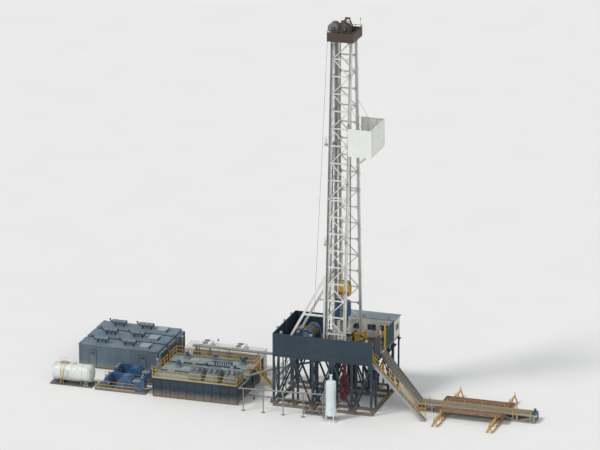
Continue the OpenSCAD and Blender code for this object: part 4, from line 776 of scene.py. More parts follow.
def floor_details(p):
    """Rotary table, setback mats, iron roughneck, winches, console and standpipe manifold."""
    p.at(z=FLOOR + 0.12)
    ring(p, (0, 0, 0), 0.36, 0.24, 0.006, "dark")
    ring(p, (0, 0, 0.006), 0.3, 0.2, 0.012, "bright")
    for k in range(4):
        p.stand(polar(0.33, (k + 0.5) * math.pi / 2), (0.06, 0.06, 0.025), "bright")
    for a in circle(1, 3):
        p.beam(a * 0.2 - UP * 0.02, a * 0.23 + UP * 0.08, 0.12, 0.03, "steel")
    # Mouse hole
    p.at(z=FLOOR)
    p.rod((0.95, -0.25, 0), UP * 0.16, 0.09, "bright", 18)
    p.rod((0.95, -0.25, 0.16), UP * 0.01, 0.11, "grey", 18)
    # Timber setback mats under the racking board
    for s in (-1, 1):
        for i, x in enumerate(spread(0.85, 2.15, 9)):
            p.stand((x, s * 0.91, 0), (0.136, 1.02, 0.07 + 0.004 * (i % 2)), "wood")
        p.stand((1.5, s * 0.385, 0), (1.48, 0.03, 0.09), "dark")
    roughneck(p)
    # Winches
    for x, y in ((1.95, 1.9), (1.95, -1.45), (-0.3, 2.1)):
        p.at(x, y, FLOOR)
        p.stand((0, 0, 0), (0.44, 0.32, 0.05), "grey")
        for e in (-0.19, 0.19):
            p.stand((e, 0, 0.05), (0.02, 0.28, 0.29), "blue")
        for x0, x1, r, mat, n in ((-0.18, 0.18, 0.075, "rope", 16), (-0.17, -0.155, 0.13, "blue", 18),
                                  (0.155, 0.17, 0.13, "blue", 18), (0.2, 0.34, 0.08, "blue", 14)):
            p.tube((x0, 0, 0.21), (x1, 0, 0.21), r, mat, n)
        p.beam((0.3, -0.05, 0.3), (0.33, -0.05, 0.5), 0.015, 0.015, "bright")
    # Driller's console with its levers and a dial panel
    p.at(-0.92, 1.93, FLOOR)
    p.box((-0.23, 0.02, 0), (0.22, 0.42, 0.5), "blue")
    p.plate([(0, 0), (0.3, 0), (0.3, 0.04), (0.12, 0.2), (0, 0.2)], (0, 0, 0.5), (0, 1, 0), UP, 0.45, "blue")
    for k in range(5):
        x = -0.17 + k * 0.085
        p.tube((x, 0.1, 0.62), (x, 0.07, 0.76), 0.007, "bright", 6)
        p.rod((x, 0.07, 0.76), UP * 0.03, 0.014, "red", 8)
    # Standpipe manifold
    p.at(0, -1.65, FLOOR + 0.35)
    p.sweep([(-0.575, 0, 0), (-0.3, 0, 0), (0.1, 0, 0)], 0.04, "roof", 12)
    for x in (-0.35, -0.1, 0.1):
        p.flange((x, 0, 0), (1, 0, 0), 0.075, 0.035, "roof", 6)
    for x in (-0.22, 0.02):
        p.cube((x, 0, 0), (0.1, 0.1, 0.14), "red")
        wheel(p, (x, 0, 0.15), UP, 0.07, "red")
    # Tool rack with collars, and a bench at the rear
    p.at(-3.7, -1.5, FLOOR)
    p.box((-0.1, -0.4, 0), (0.4, 0.3, 0.42), "blue")
    for k in range(4):
        p.rod((0.12 * k, 0, 0.42), UP * 0.14, 0.045, "bright", 12)
    p.at(-3.65, 1.7, FLOOR)
    p.stand((0, 0, 0), (0.4, 0.8, 0.5), "yellow")
    p.stand((0, 0, 0.5), (0.42, 0.84, 0.02), "grey")


def roughneck(p):
    """Iron roughneck: two wrenches and a spinner on arms that reach from a column to the well."""
    foot, head = Vector((1.22, 0.92, 0)), Vector((0.62, 0.47, 0))
    reach = (head - foot).normalized()
    side_way = Vector((-reach.y, reach.x, 0))
    p.beam(foot - reach * 0.2 + UP * 0.1, foot + reach * 0.2 + UP * 0.1, 0.36, 0.05, "dark")
    p.rod(foot, UP * 0.98, 0.085, "yellow", 20)
    for z, r in ((0.12, 0.125), (0.9, 0.11), (0.98, 0.09)):
        p.rod(foot + UP * z, UP * 0.05, r, "yellow", 20)
    elbow = foot.lerp(head, 0.6) + UP * 0.72
    p.tube(foot + reach * 0.08 + UP * 0.5, elbow, 0.034, "dark", 14)
    p.tube(elbow, foot.lerp(head, 0.85) + UP * 0.8, 0.018, "bright", 12)
    p.beam(head - reach * 0.16 + UP * 0.4, head - reach * 0.16 + UP * 1.02, 0.24, 0.05, "yellow", reach)
    for out in (-side_way, side_way):
        for z in (0.56, 0.84):
            ends = [q + out * 0.1 + UP * z for q in (foot, head - reach * 0.06)]
            p.beam(*ends, 0.03, 0.08, "yellow")
            for q in ends:
                p.rod(q + out * 0.012, out * 0.023, 0.03, "bright", 12)
        p.rod(head + out * 0.07 + UP, UP * 0.12, 0.045, "dark", 16)
    for z, h, w in ((0.49, 0.14, 0.32), (0.66, 0.14, 0.32), (0.92, 0.16, 0.28)):
        middle = head + UP * z
        p.beam(middle - reach * 0.13, middle + reach * 0.13, w, h, "yellow")
        for out in (-side_way, side_way):
            jaw = middle + reach * 0.12 + out * 0.105
            p.beam(jaw, jaw + reach * 0.17 - out * 0.02, 0.07, h * 0.8, "dark")
            p.rod(jaw + reach * 0.17 - out * 0.03 - UP * 0.06, UP * 0.12, 0.035, "bright", 14)


def turned(p, rows, mat, smooth):
    """Closed rows of points, joined each to the next and the last to the first."""
    m, n = len(rows), len(rows[0])
    faces = []
    for j in range(m):
        for k in range(n):
            j2, k2 = (j + 1) % m, (k + 1) % n
            faces.append((j * n + k, j * n + k2, j2 * n + k2, j2 * n + k))
    p.add([point for row in rows for point in row], faces, mat, smooth)


def ring(p, centre, outer, inner, t, mat, n=40):
    """A flat washer standing on its centre."""
    rows = [(outer, 0), (outer, t), (inner, t), (inner, 0)]
    turned(p, [[Vector(centre) + c + UP * z for c in circle(r, n)] for r, z in rows], mat, False)


def wheel(p, centre, axis, r, mat, n=14):
    """A valve's hand wheel."""
    c, a = Vector(centre), Vector(axis).normalized()
    u = a.orthogonal().normalized()
    w = a.cross(u)
    pts = [c + u * t.x + w * t.y for t in circle(r, n)]
    for q0, q1 in zip(pts, pts[1:] + pts[:1]):
        p.tube(q0, q1, 0.007, mat, 5)
    for k in range(4):
        p.tube(c, pts[k * n // 4], 0.005, mat, 5)
    p.tube(c - a * 0.09, c + a * 0.01, 0.012, mat, 6)


def drawworks_details(p):
    """Line on the drum, brakes, guard bars, motor fins and the dead line's anchor."""
    p.at(-2.45, 0, FLOOR + 0.76)
    for y in spread(-0.52, 0.52, 56):
        ring_y(p, (0, y, 0), 0.31, 0.0088, "rope")
    for s in (-1, 1):
        p.rod((0, s * 0.868, 0), (0, s * 0.032, 0), 0.34, "bright", 36)
        p.rod((0, s * 0.9, 0), (0, s * 0.06, 0), 0.07, "steel", 16)
        p.studs((0, 0, 0), 1, 0.29, 18, s * 0.9, s * 0.904, 0.012, "steel", 8)
        for a in (0.5, 2.6):
            p.cube(polar(0.32, a, 1) + Vector((0, s * 0.885, 0)), (0.12, 0.09, 0.14), "blue")
    for a in spread(0.15, 2.99, 9):
        across(p.tube, polar(0.47, a, 1), 0.6, 0.01, "yellow", 8)
    # Motors: fins, fan cowls and boxes
    for y in (-0.43, 0.43):
        p.at(-3.15, y, FLOOR)
        for k in range(14):
            p.rod((0, -0.26 + k * 0.04, 0.42), (0, 0.012, 0), 0.245, "blue", 24)
        p.box((-0.13, -0.16, 0.62), (0.13, 0.16, 0.82), "blue")
        p.rod((0, 0, 0.82), UP * 0.13, 0.11, "grey", 20)
        p.box((-0.21, -0.28, 0.1), (0.21, 0.28, 0.14), "grey")
    # Skid nuts and oil piping
    p.at(z=FLOOR)
    for x in spread(-3.3, -1.75, 8):
        for y in (-0.8, 0.8):
            p.rod((x, y, 0.14), UP * 0.025, 0.022, "steel", 6)
    p.sweep([(-3.1, 0.12, 0.2), (-3.1, 0.12, 0.5), (-2.9, 0.12, 0.6), (-2.7, 0.55, 0.62)], 0.014, "grey", 8)
    # Anchor of the dead line: cast body, foot bolts, wheel and clamp
    p.at(*ANCHOR, FLOOR)
    p.stand((0, 0, 0), (0.246, 0.246, 0.264), "blue")
    p.stand((0, 0, 0), (0.34, 0.34, 0.022), "blue")
    for x in (-0.145, 0.145):
        for y in (-0.145, 0.145):
            p.rod((x, y, 0.022), UP * 0.02, 0.014, "bright", 6)
    for y, t, r, mat in ((0.123, 0.014, 0.115, "blue"), (0.137, 0.05, 0.09, "steel"),
                         (0.187, 0.014, 0.115, "blue"), (0.201, 0.02, 0.035, "steel")):
        p.rod((0, y, 0.14), (0, t, 0), r, mat, 24)
    p.stand((0, 0, 0.264), (0.09, 0.06, 0.056), "steel")
    for x in (-0.03, 0.03):
        p.tube((x, -0.045, 0.292), (x, 0.045, 0.292), 0.009, "bright", 6)


def ring_y(p, centre, r, t, mat, n=28):
    """One turn of line round an axis along Y."""
    rows = []
    for c in reversed(circle(t, 5)):
        rows.append([Vector(centre) + q + Vector((0, c.y, 0)) for q in circle(r + c.x, n, 1)])
    turned(p, rows, mat, True)


def wall_details(p):
    """Ribs, top rails and lamps of the wind walls, V-door posts and stair gate."""
    p.at(z=FLOOR)
    top = WALL_TOP - FLOOR
    walls = [((x, -HALF), (0, -1)) for x in spread(REAR + 0.1, FRONT - 0.1, 45)]
    walls += [((REAR, y), (-1, 0)) for y in spread(-2.38, 2.38, 31)]
    walls += [((FRONT, y), (1, 0)) for y in spread(-1.82, -0.62, 8) + spread(0.62, 2.42, 12)]
    walls += [((x, HALF), (0, 1)) for x in spread(REAR + 0.1, -2.4, 12)]
    for place, out in walls:
        rib(p, *place, (*out, 0), 0.06, top - 0.06, "wall")
    front, rear = FRONT - 0.0125, REAR - 0.004
    side = HALF - 0.0125
    for x0, y0, x1, y1 in ((rear, -side, FRONT + 0.004, -side), (REAR + 0.012, -2.43, REAR + 0.012, 2.43),
                           (rear, side, -2.306, side), (front, -1.894, front, -0.49),
                           (front, 0.49, front, 2.45)):
        p.beam((x0, y0, top), (x1, y1, top), 0.05, 0.03, "wall")
    for x in (-3.7, -1.6, 0.6, 2.3):
        p.lamp((x, -2.46, top), (0.1, 0.6, -0.9), "galv", 0.18)
    for y in (-1.5, 0.0, 1.5):
        p.lamp((REAR + 0.03, y, top), (0.8, 0, -0.7), "galv", 0.18)
    # V-door posts and threshold roller
    p.at(FRONT, 0, FLOOR)
    for y in (-0.52, 0.52):
        p.stand((-0.044, y, 0), (0.1, 0.072, top + 0.35), "yellow")
        p.lamp((-0.045, y, top + 0.35), (1, 0, -0.6), "galv", 0.16)
    p.tube((0.03, -0.42, 0.035), (0.03, 0.42, 0.035), 0.05, "bright", 18)
    # Stair gate
    for z in (0.1, 0.5):
        p.box((-0.03, -2.38, z), (-0.01, -1.97, z + 0.03), "yellow")
    p.slats(1, spread(-2.36, -1.99, 4), 0.008, (-0.028, 0.11), (-0.012, 0.52), "yellow")


def substructure_details(p):
    """Gussets, pin joints and cross bracing of the side boxes, and the preventer's trolley."""
    posts = spread(REAR + 0.07, FRONT - 0.07, 5)
    foot = [(-0.26, 0), (0.26, 0), (0.26, 0.06), (0.12, 0.26), (-0.12, 0.26), (-0.26, 0.06)]
    for s in (-1, 1):
        for out in (s * 1.343, s * 2.507):
            for i, x in enumerate(posts):
                p.at(x, out)
                z, way = ((0.2, 1), (3.54, -1))[i % 2]
                p.plate(foot, (0, 0, z), (1, 0, 0), UP * way, 0.014, "navy")
                for dx in (-0.2, -0.1, 0.1, 0.2):
                    p.tube((dx, -0.014, z + way * 0.04), (dx, 0.014, z + way * 0.04), 0.014, "bright", 6)
                # Pin joint half way up
                p.box((-0.085, -0.02, 1.86), (0.085, 0.02, 1.95), "navy")
                p.tube((0, -0.035, 1.905), (0, 0.035, 1.905), 0.026, "bright", 12)
        p.at()
        # Cross bracing between the trusses of a box, at both ends and in the middle
        inner, outer = s * 1.47, s * 2.38
        for x in (posts[0], posts[2], posts[5]):
            p.beam((x, inner, 0.14), (x, outer, 3.6), 0.045, 0.045, "navy", (1, 0, 0))
            p.beam((x, outer, 0.14), (x, inner, 3.6), 0.045, 0.037, "navy", (1, 0, 0))
    # Rails and hoists of the preventer trolley
    for y in (-0.9, 0.9):
        p.beam((-2.5, y, 3.39), (2.3, y, 3.39), 0.1, 0.1, "navy")
        p.stand((0, y, 3.16), (0.24, 0.2, 0.18), "yellow")
        p.rod((0, y, 3.16), UP * -0.06, 0.03, "bright", 10)
        p.stand((0, y, 3.02), (0.06, 0.1, 0.08), "yellow")
    for y in (-0.3, 0.3):
        p.beam((REAR + 0.02, y, 0.25), (REAR + 0.02, y, 3.44), 0.06, 0.06, "navy")
    # Drip edge of the floor, and lamps under it
    p.box((REAR, -HALF - 0.008, FLOOR - 0.06), (FRONT, -HALF, FLOOR - 0.005), "navy")
    for y in (-2.2, -1.75, 1.75, 2.2):
        p.lamp((FRONT - 0.2, y, 3.28), (1, 0, -0.8), "yellow", 0.16)


def stair_details(p):
    """Treads with nosings, clips under the handrail posts and landing grating."""
    steps, run = 37, STAIR_RUN
    near, far = (-2.4, -1.95), (2.5405, 2.9905)
    for i in range(1, steps):
        z, out = FLOOR * (1 - i / steps), (i - 1) * run / steps
        flights = ((FRONT + out + 0.0105, near, 0.112), (REAR_STAIR - out - 0.13, far, -0.004))
        for x, (y0, y1), nose in flights:
            p.box((x + 0.004, y0 + 0.0325, z - 0.002), (x + 0.116, y1 - 0.0325, z + 0.004), "galv")
            p.box((x + nose, y0 + 0.0335, z - 0.031), (x + nose + 0.012, y1 - 0.0335, z + 0.008), "yellow")
    p.slats(0, spread(-2.26, -1.76, 20), 0.003, (2.5, FLOOR), (3.0, FLOOR + 0.012), "galv")
    p.rail([(-1.76, 3.0, FLOOR), (-2.25, 3.0, FLOOR)], 0.55, "yellow", 0.5)
    for x in spread(0.03, run - 0.09, 6):
        z = FLOOR * (1 - x / run)
        for at, ys in ((FRONT + x, near), (REAR_STAIR - x, far)):
            for y in ys:
                p.cube((at, y, z - 0.02), (0.056, 0.018, 0.1), "yellow")


# Doghouse


def doghouse_details(p):
    """Skin, glazed windows, door, roof ribs, gutter, cooler and lamps of the doghouse."""
    x0, y0, z0, x1, y1, z1 = DOG
    long, wide, high = x1 - x0, y1 - y0, z1 - z0
    p.at(x0, y0, z0)
    w = 0.62
    near, far = (0.5, 1.5, 2.5, 3.4), (1.5, 2.5)
    full, below, above = (0.05, high - 0.05), (0.05, 0.47), (0.99, high - 0.05)
    for x in spread(0.07, long - 0.07, 38):
        for y, side, holes in ((0, -1, near), (wide, 1, far)):
            cut = any(a - 0.04 < x < a + w + 0.04 for a in holes)
            spans = [below, above] if cut else [full]
            if side < 0 and x0 + x < 2.5:
                spans = [span for span in spans if span[0] > 0]
            for span in spans:
                rib(p, x, y, (0, side, 0), *span, "cream")
    for y in spread(0.07, wide - 0.07, 10):
        for span in [below, above] if abs(y - wide / 2) < 0.35 else [full]:
            rib(p, long, y, (1, 0, 0), *span, "cream")
    # Frames, panes and bars of the windows
    for y, a in [(0.02, a) for a in near] + [(wide - 0.02, a) for a in far]:
        for z in (0.52, 0.905):
            p.box((a, y - 0.035, z), (a + w, y + 0.035, z + 0.035), "grey")
        for x in (a + 0.002, a + w / 2 - 0.016, a + w - 0.034):
            p.box((x, y - 0.032, 0.53), (x + 0.032, y + 0.032, 0.93), "grey")
        p.box((a + 0.03, y - 0.004, 0.55), (a + w - 0.03, y + 0.004, 0.91), "glass")
    p.at(x1, (y0 + y1) / 2, z0)
    for z in (0.52, 0.905):
        p.box((-0.05, -0.31, z), (0.019, 0.31, z + 0.035), "grey")
    for y in (-0.308, 0.276):
        p.box((-0.048, y, 0.53), (0.016, y + 0.032, 0.93), "grey")
    p.box((-0.024, -0.28, 0.55), (-0.016, 0.28, 0.91), "glass")
    # Door with its frame, pane, handle and hinges
    p.at(x0, (y0 + y1) / 2, z0)
    for a, b, mat in (((0.012, -0.228, 0.003), (0.03, 0.228, 1.045), "house"),
                      ((-0.012, -0.235, 0), (0.035, -0.215, 1.06), "grey"),
                      ((-0.012, 0.215, 0), (0.035, 0.235, 1.06), "grey"),
                      ((-0.014, -0.237, 1.05), (0.037, 0.237, 1.075), "grey"),
                      ((0.006, -0.12, 0.62), (0.036, 0.12, 0.92), "glass")):
        p.box(a, b, mat)
    p.rod((-0.02, 0.17, 0.5), UP * 0.12, 0.008, "bright", 8)
    for z in (0.15, 0.9):
        p.rod((0, -0.225, z), UP * 0.08, 0.01, "bright", 8)
    # Roof ribs, gutter, air conditioner and lamps
    p.at(x0, y0, z1)
    p.slats(0, spread(0, long, 22), 0.015, (0.01, 0.06), (wide + 0.05, 0.075), "roof")
    p.box((-0.063, wide + 0.05, -0.003), (long + 0.063, wide + 0.078, 0.063), "grey")
    for x in (0.4, 2.2, 4.0):
        p.lamp((x, 0.08, 0.07), (0, -1, -0.7), "grey", 0.16)
    p.at(x0 + 2.9, y1, z0 + 0.6)
    p.box((0, 0.002, 0), (0.45, 0.17, 0.35), "roof")
    p.slats(2, spread(0.05, 0.302, 6), 0.01, (0.03, 0.17), (0.42, 0.18), "grey")
    # Bracket plates on the support frame
    p.at()
    for x in spread(x0 + 0.05, x1 - 0.05, 4):
        p.plate([(-0.16, 0), (0.16, 0), (0.06, -0.22), (-0.06, -0.22)], (x, y1 + 0.004, 3.56), (1, 0, 0), UP,
                0.012, "navy")


# Ramp, catwalk and pipes


def pipe_handling_details(p):
    """Ramp bars and hooks, catwalk ribs and rails, winch, steps and stop posts of the racks."""
    a, b = Vector((FRONT, 0, FLOOR)), Vector((RAMP_END, 0, CAT_H))
    d = (b - a).normalized()
    up = Vector((-d.z, 0, d.x))
    for t in spread(0.06, 0.97, 16):
        across(p.beam, a.lerp(b, t) + up * 0.006, 0.405, 0.02, 0.014, "bright", up)
    for y in (-0.2, 0.0, 0.2):
        off = Vector((0, y, 0)) + up * 0.008
        p.beam(a + off + d * 0.1, b + off - d * 0.1, 0.04, 0.018, "wood", up)
    for y in (-0.43, 0.43):
        for t in spread(0.05, 0.95, 12):
            c = a.lerp(b, t) + Vector((0, y, 0)) - up * 0.09
            p.beam(c - d * 0.05, c + d * 0.05, 0.06, 0.16, "grey", up)
    for y in (-0.36, 0.36):
        p.stand((FRONT + 0.01, y, FLOOR), (0.1, 0.08, 0.05), "yellow")
    # Catwalk: plate ribs, pipe trough, kick rails and stop posts
    p.at(z=CAT_H)
    p.slats(0, spread(CAT_X0 + 0.4, CAT_X1 - 0.02, 42), 0.006, (-0.47, 0), (0.47, 0.006), "grey")
    for s in (-1, 1):
        p.beam((CAT_X0 + 0.36, s * 0.14, 0.012), (CAT_X1 - 0.3, s * 0.14, 0.012), 0.03, 0.03, "wood")
        p.box((CAT_X0 + 0.36, s * 0.49, 0), (CAT_X1, s * 0.5, 0.05), "yellow")
        for x in spread(CAT_X0 + 0.8, CAT_X1 - 0.3, 6):
            p.stand((x, s * 0.515, -0.3), (0.05, 0.03, 0.52), "yellow")
    # Winch at its end
    p.at(CAT_X1 - 0.15, 0, CAT_H)
    p.stand((0, 0, 0), (0.2, 0.6, 0.14), "blue")
    p.tube((0, -0.21, 0.2), (0, 0.21, 0.2), 0.05, "rope", 16)
    for y in (-0.21, 0.21):
        p.stand((0, y, 0.1), (0.14, 0.02, 0.2), "blue")
    # Steps up to it
    p.at(CAT_X1 - 1.35)
    for k in range(4):
        p.box((-0.25, 0.53 + k * 0.12, 0.43 - k * 0.12), (0.25, 0.66 + k * 0.12, 0.45 - k * 0.12), "grey")
    for x in (-0.25, 0.25):
        p.beam((x, 0.52, 0.46), (x, 1.05, 0.05), 0.015, 0.08, "yellow")
    # Stop posts and end caps of the pipe racks
    for x in RACK_X:
        p.at(x)
        for s in (-1, 1):
            for y in (0.6, 1.72, 3.12):
                p.stand((0, s * y, 0.52), (0.04, 0.04, 0.22), "yellow")
            p.box((-0.055, s * 3.16, 0.44), (0.055, s * 3.17, 0.53), "grey")


def pipe_ends(p):
    """Tool joints and coloured thread protectors of the racked pipes."""
    x0 = (sum(RACK_X) - PIPE_LONG) / 2
    for s in (-1, 1):
        for k in range(12):
            p.at(x0, s * (0.66 + k * PIPE_PITCH), 0.5523)
            cap = ("red", "blue")[(k // 4) % 2]
            for a, b in ((0.02, 0.2), (PIPE_LONG - 0.24, PIPE_LONG - 0.02)):
                p.tube((a, 0, 0), (b, 0, 0), 0.0365, "rusty", 14)
            for a in (-0.03, PIPE_LONG - 0.03):
                p.rod((a, 0, 0), (0.06, 0, 0), 0.034, cap, 14)
            # A dark disc the size of the bore on the end cap: painted shade where the open bore would show
            p.rod((PIPE_LONG + 0.03, 0, 0), (0.002, 0, 0), 0.018, "dark", 12)
            p.tube((0.2, 0, 0), (0.26, 0, 0), 0.0365, "rusty", 14, 0.0325)


# Well control


def preventer(p):
    """Bolts, bonnets, caps, valves and clamps of the blowout preventer."""
    for z, n in ((0.03, 16), (0.33, 12), (0.73, 12), (1.15, 12)):
        p.studs((0, 0, z), 2, 0.1476, n, 0.028, 0.06, 0.016, "bright")
    # Ram bonnets: bolts, locking shafts and hydraulic lines
    for z in (0.53, 0.93):
        p.at(z=z)
        for s in (-1, 1):
            p.studs((0, 0, 0), 1, 0.145, 8, s * 0.33, s * 0.37, 0.02, "bright")
            p.rod((0, s * 0.33, 0), (0, s * 0.09, 0), 0.13, "red", 20)
            p.rod((0, s * 0.75, 0), (0, s * 0.11, 0), 0.03, "bright", 10)
            half = [(1, 0.6, 0.1), (1.3, 0.45, 0.16)]
            line = [(kx, -y, h) for kx, y, h in half] + [(1.6, 0, 0.19)] + half[::-1]
            p.sweep([(s * 0.12 * kx, y, h) for kx, y, h in line], 0.01, "steel", 6)
    # Annular preventer: cap nuts and ribs
    p.at()
    p.studs((0, 0, 0), 2, 0.262, 20, 1.66, 1.71, 0.018, "bright")
    for c in circle(0.292, 10):
        p.beam(c + UP * 1.24, c + UP * 1.6, 0.02, 0.02, "red", c)
    # Kill and choke valves with wheels
    p.at(z=0.2)
    for s in (-1, 1):
        for y in (0.34, 0.52):
            p.flange((0, s * y, 0), (0, 1, 0), 0.07, 0.03, "red", 8)
            wheel(p, (0.16, s * (y + 0.07), 0), (1, 0, 0), 0.07, "grey")
        p.flange((0, s * 0.436, 0), (0, 1, 0), 0.074, 0.03, "red", 8)
    # Clamp bands on the bell nipple
    p.at()
    for z in (1.95, 2.5, 3.35):
        p.rod((0, 0, z), UP * 0.05, 0.137, "steel", 28)
        p.stand((0.15, 0, z + 0.004), (0.04, 0.06, 0.042), "steel")


def well_details(p):
    """Choke manifold's valves and grating, return line's flanges, and the gas separator's fittings."""
    p.at(z=0.3)
    for y in (-1.25, -2.65):
        p.flange((0, y, 0), (0, 1, 0), 0.07, 0.03, "grey", 8)
    for x in (-1.7, -1.2, -0.7, -0.2):
        for y in (-3.26, -3.09):
            for e in (-0.066, 0.066):
                p.flange((x, y + e, 0), (0, 1, 0), 0.06, 0.014, "grey", 8)
            wheel(p, (x, y, 0.16), UP, 0.065, "red")
            p.cube((x, y, 0.02), (0.114, 0.09, 0.144), "red")
        for y in (-3.4, -2.95):
            for e in (-0.075, 0.075):
                p.flange((x + e, y, 0), (1, 0, 0), 0.06, 0.03, "grey", 8)
    p.at()
    p.slats(0, spread(-1.8, 0.05, 60), 0.003, (-3.35, 0.045), (-3.0, 0.058), "galv")
    # Pressure gauge
    p.tube((-0.45, -2.95, 0.33), (-0.45, -2.95, 0.46), 0.012, "grey", 8)
    p.tube((-0.45, -2.975, 0.5), (-0.45, -2.945, 0.5), 0.05, "vessel", 18)
    # Riser, nozzle and return line: flanges with their bolts
    for at, axis, r in (((0.3, -3.4, 0.8), 2, 0.07), ((0.3, -3.4, 1.4), 2, 0.07),
                        ((0.3, -3.5875, 1.86), 1, 0.088), ((-0.26, -4.0, 0.9), 2, 0.09),
                        ((-1.4, -4.0, 1.7165), 0, 0.09), ((-2.9, -4.0, 1.672), 0, 0.09),
                        ((-4.4, -4.0, 1.6265), 0, 0.09), ((-6.15, -3.0, 1.5705), 1, 0.09)):
        p.flange(at, AXES[axis], r, 0.03, "grey", 8)
    # Separator: rings, inspection cover, flanges and sight glass
    p.at(*SEPARATOR)
    for z in (0.62, 1.35, 2.08, 2.66):
        p.rod((0, 0, z), UP * 0.02, 0.346, "vessel", 40)
    p.flange((0, -0.36, 1.0), (0, 1, 0), 0.15, 0.04, "vessel", 12)
    p.flange((0, 0, 3.2), UP, 0.11, 0.04, "vessel", 8)
    p.flange((0, 0, 2.9), UP, 0.1, 0.03, "vessel", 8)
    p.tube((0.32, -0.14, 0.9), (0.32, -0.14, 2.2), 0.014, "glass", 8)
    for z in (0.95, 2.15):
        p.tube((0.32, -0.14, z), (0.2, -0.1, z), 0.012, "grey", 8)
    # Ladder on the separator's far side
    for y in (-0.1, 0.1):
        p.tube((-0.39, y, 0.1), (-0.39, y, 2.6), 0.01, "vessel", 8)
    for z in spread(0.25, 2.5, 15):
        p.tube((-0.39, -0.1, z), (-0.39, 0.1, z), 0.008, "vessel", 6)


# Mud system


def tank_details(p):
    """Hatches, gratings, wall fittings, agitators, pipes, stairs and lamps of the mud tanks."""
    middle, long = (TANK_X0 + TANK_X1) / 2, TANK_X1 - TANK_X0
    for i, y in enumerate(TANK_Y):
        p.at(TANK_X0, y, TANK_TOP)
        p.slats(0, spread(0.3, long - 0.3, 12), 0.005, (0.01, 0), (TANK_W - 0.01, 0.005), "gantry")
        p.slats(0, spread(0, long, 110), 0.003, (TANK_W - 0.42, 0.004), (TANK_W - 0.02, 0.02), "galv")
        for k in range(3):
            if i:
                p.box((1.35 + 2 * k, 0.3, 0), (1.95 + 2 * k, 0.75, 0.03), "roof")
                p.rod((1.6 + 2 * k, 0.35, 0.045), (0.1, 0, 0), 0.008, "grey", 6)
                agitator(p, TANK_X0 + 1 + 2 * k, y + 0.75)
                p.at(TANK_X0, y, TANK_TOP)
        # Panels, suction flanges and drain hatches on the walls, and edge strips
        for y0, side in ((y, -1), (y + TANK_W, 1)):
            p.at(TANK_X0, y0 - side * 0.05)
            for k in range(10):
                x = 0.3 + k * 0.595
                p.box((x - 0.17, 0, 0.95), (x + 0.17, side * 0.008, 1.25), "tank")
                if k % 3 == 1:
                    p.flange((x, side * 0.03, 0.32), (0, 1, 0), 0.1, 0.03, "tank", 8)
                if k % 3 == 2:
                    p.cube((x, side * 0.02, 0.45), (0.26, 0.03, 0.26), "tank")
                    p.tube((x - 0.08, side * 0.05, 0.45), (x + 0.08, side * 0.05, 0.45), 0.008, "grey", 6)
            p.box((-0.004, side * 0.055, 1.3), (long + 0.004, 0, 1.366), "tank")
            p.box((0.01, side * 0.053, 0.7), (long - 0.01, side * 0.005, 0.74), "tank")
    # Equaliser pipes and bridges between the tanks
    for y in TANK_Y[1:]:
        for e in (-2.6, 2.6):
            p.at(middle + e, y - 0.3, 0.35)
            p.tube((0, -0.06, 0), (0, 0.36, 0), 0.07, "tank", 16)
            p.flange((0, 0.15, 0), (0, 1, 0), 0.11, 0.05, "tank", 8)
        for x in (-11.8, -7.2):
            p.at(x, y - 0.15, TANK_TOP)
            p.stand((0, 0, 0), (0.5, 0.36, 0.02), "galv")
    # Suction header behind them
    p.at(HEADER_X, 0, 0.42)
    p.tube((0, -3.0, 0), (0, 1.4, 0), 0.075, "tank", 16)
    for y in (-2.9, -0.9, 0.9):
        p.rod((0, y, 0), (0.2, 0, 0), 0.07, "tank", 14)
        p.flange((0.1, y, 0), (1, 0, 0), 0.11, 0.04, "tank", 8)
        wheel(p, (0.1, y, 0.2), UP, 0.08, "red")
    # Stairs up to the decks
    p.at(TANK_X1)
    steps = 12
    for k in range(1, steps):
        p.stand((0.01 + k * 0.11, 0.75, TANK_TOP * (1 - k / steps) - 0.012), (0.14, 0.4, 0.012), "galv")
    for y in (0.54, 0.95):
        p.beam((0.04, y, TANK_TOP - 0.02), (1.3, y, 0.08), 0.015, 0.1, "yellow")
        p.beam((0.1, y, TANK_TOP + 0.5), (1.3, y, 0.55), 0.02, 0.02, "yellow")
        for t in (0.05, 0.5, 0.95):
            foot = Vector((0.1, y, TANK_TOP - 0.05)).lerp(Vector((1.3, y, 0.02)), t)
            p.rod(foot, UP * 0.53, 0.01, "yellow", 8)
    # Lamp posts
    p.at(z=TANK_TOP)
    near, far = TANK_Y[0] + 0.04, TANK_Y[2] + TANK_W - 0.04
    for x, y in ((-12.2, near), (middle, near), (-6.9, near), (middle, far), (-12.2, far)):
        p.rod((x, y, 0), UP * 1.15, 0.014, "galv", 8)
        p.lamp((x, y, 1.15), (0.2, math.copysign(0.6, -y), -1), "galv", 0.17)


def agitator(p, x, y):
    """Motor and gearbox of a mud agitator, on its foot plate."""
    p.at(x, y, TANK_TOP)
    p.cube((0, 0, 0.08), (0.34, 0.34, 0.165), "grey")
    p.stand((0, 0, 0), (0.48, 0.48, 0.02), "grey")
    for j in range(12):
        p.rod((0, 0, 0.17 + j * 0.022), UP * 0.009, 0.132, "blue", 20)
    p.rod((0, 0, 0.43), UP * 0.055, 0.135, "blue", 24)
    p.box((0.11, -0.06, 0.2), (0.2, 0.06, 0.34), "blue")


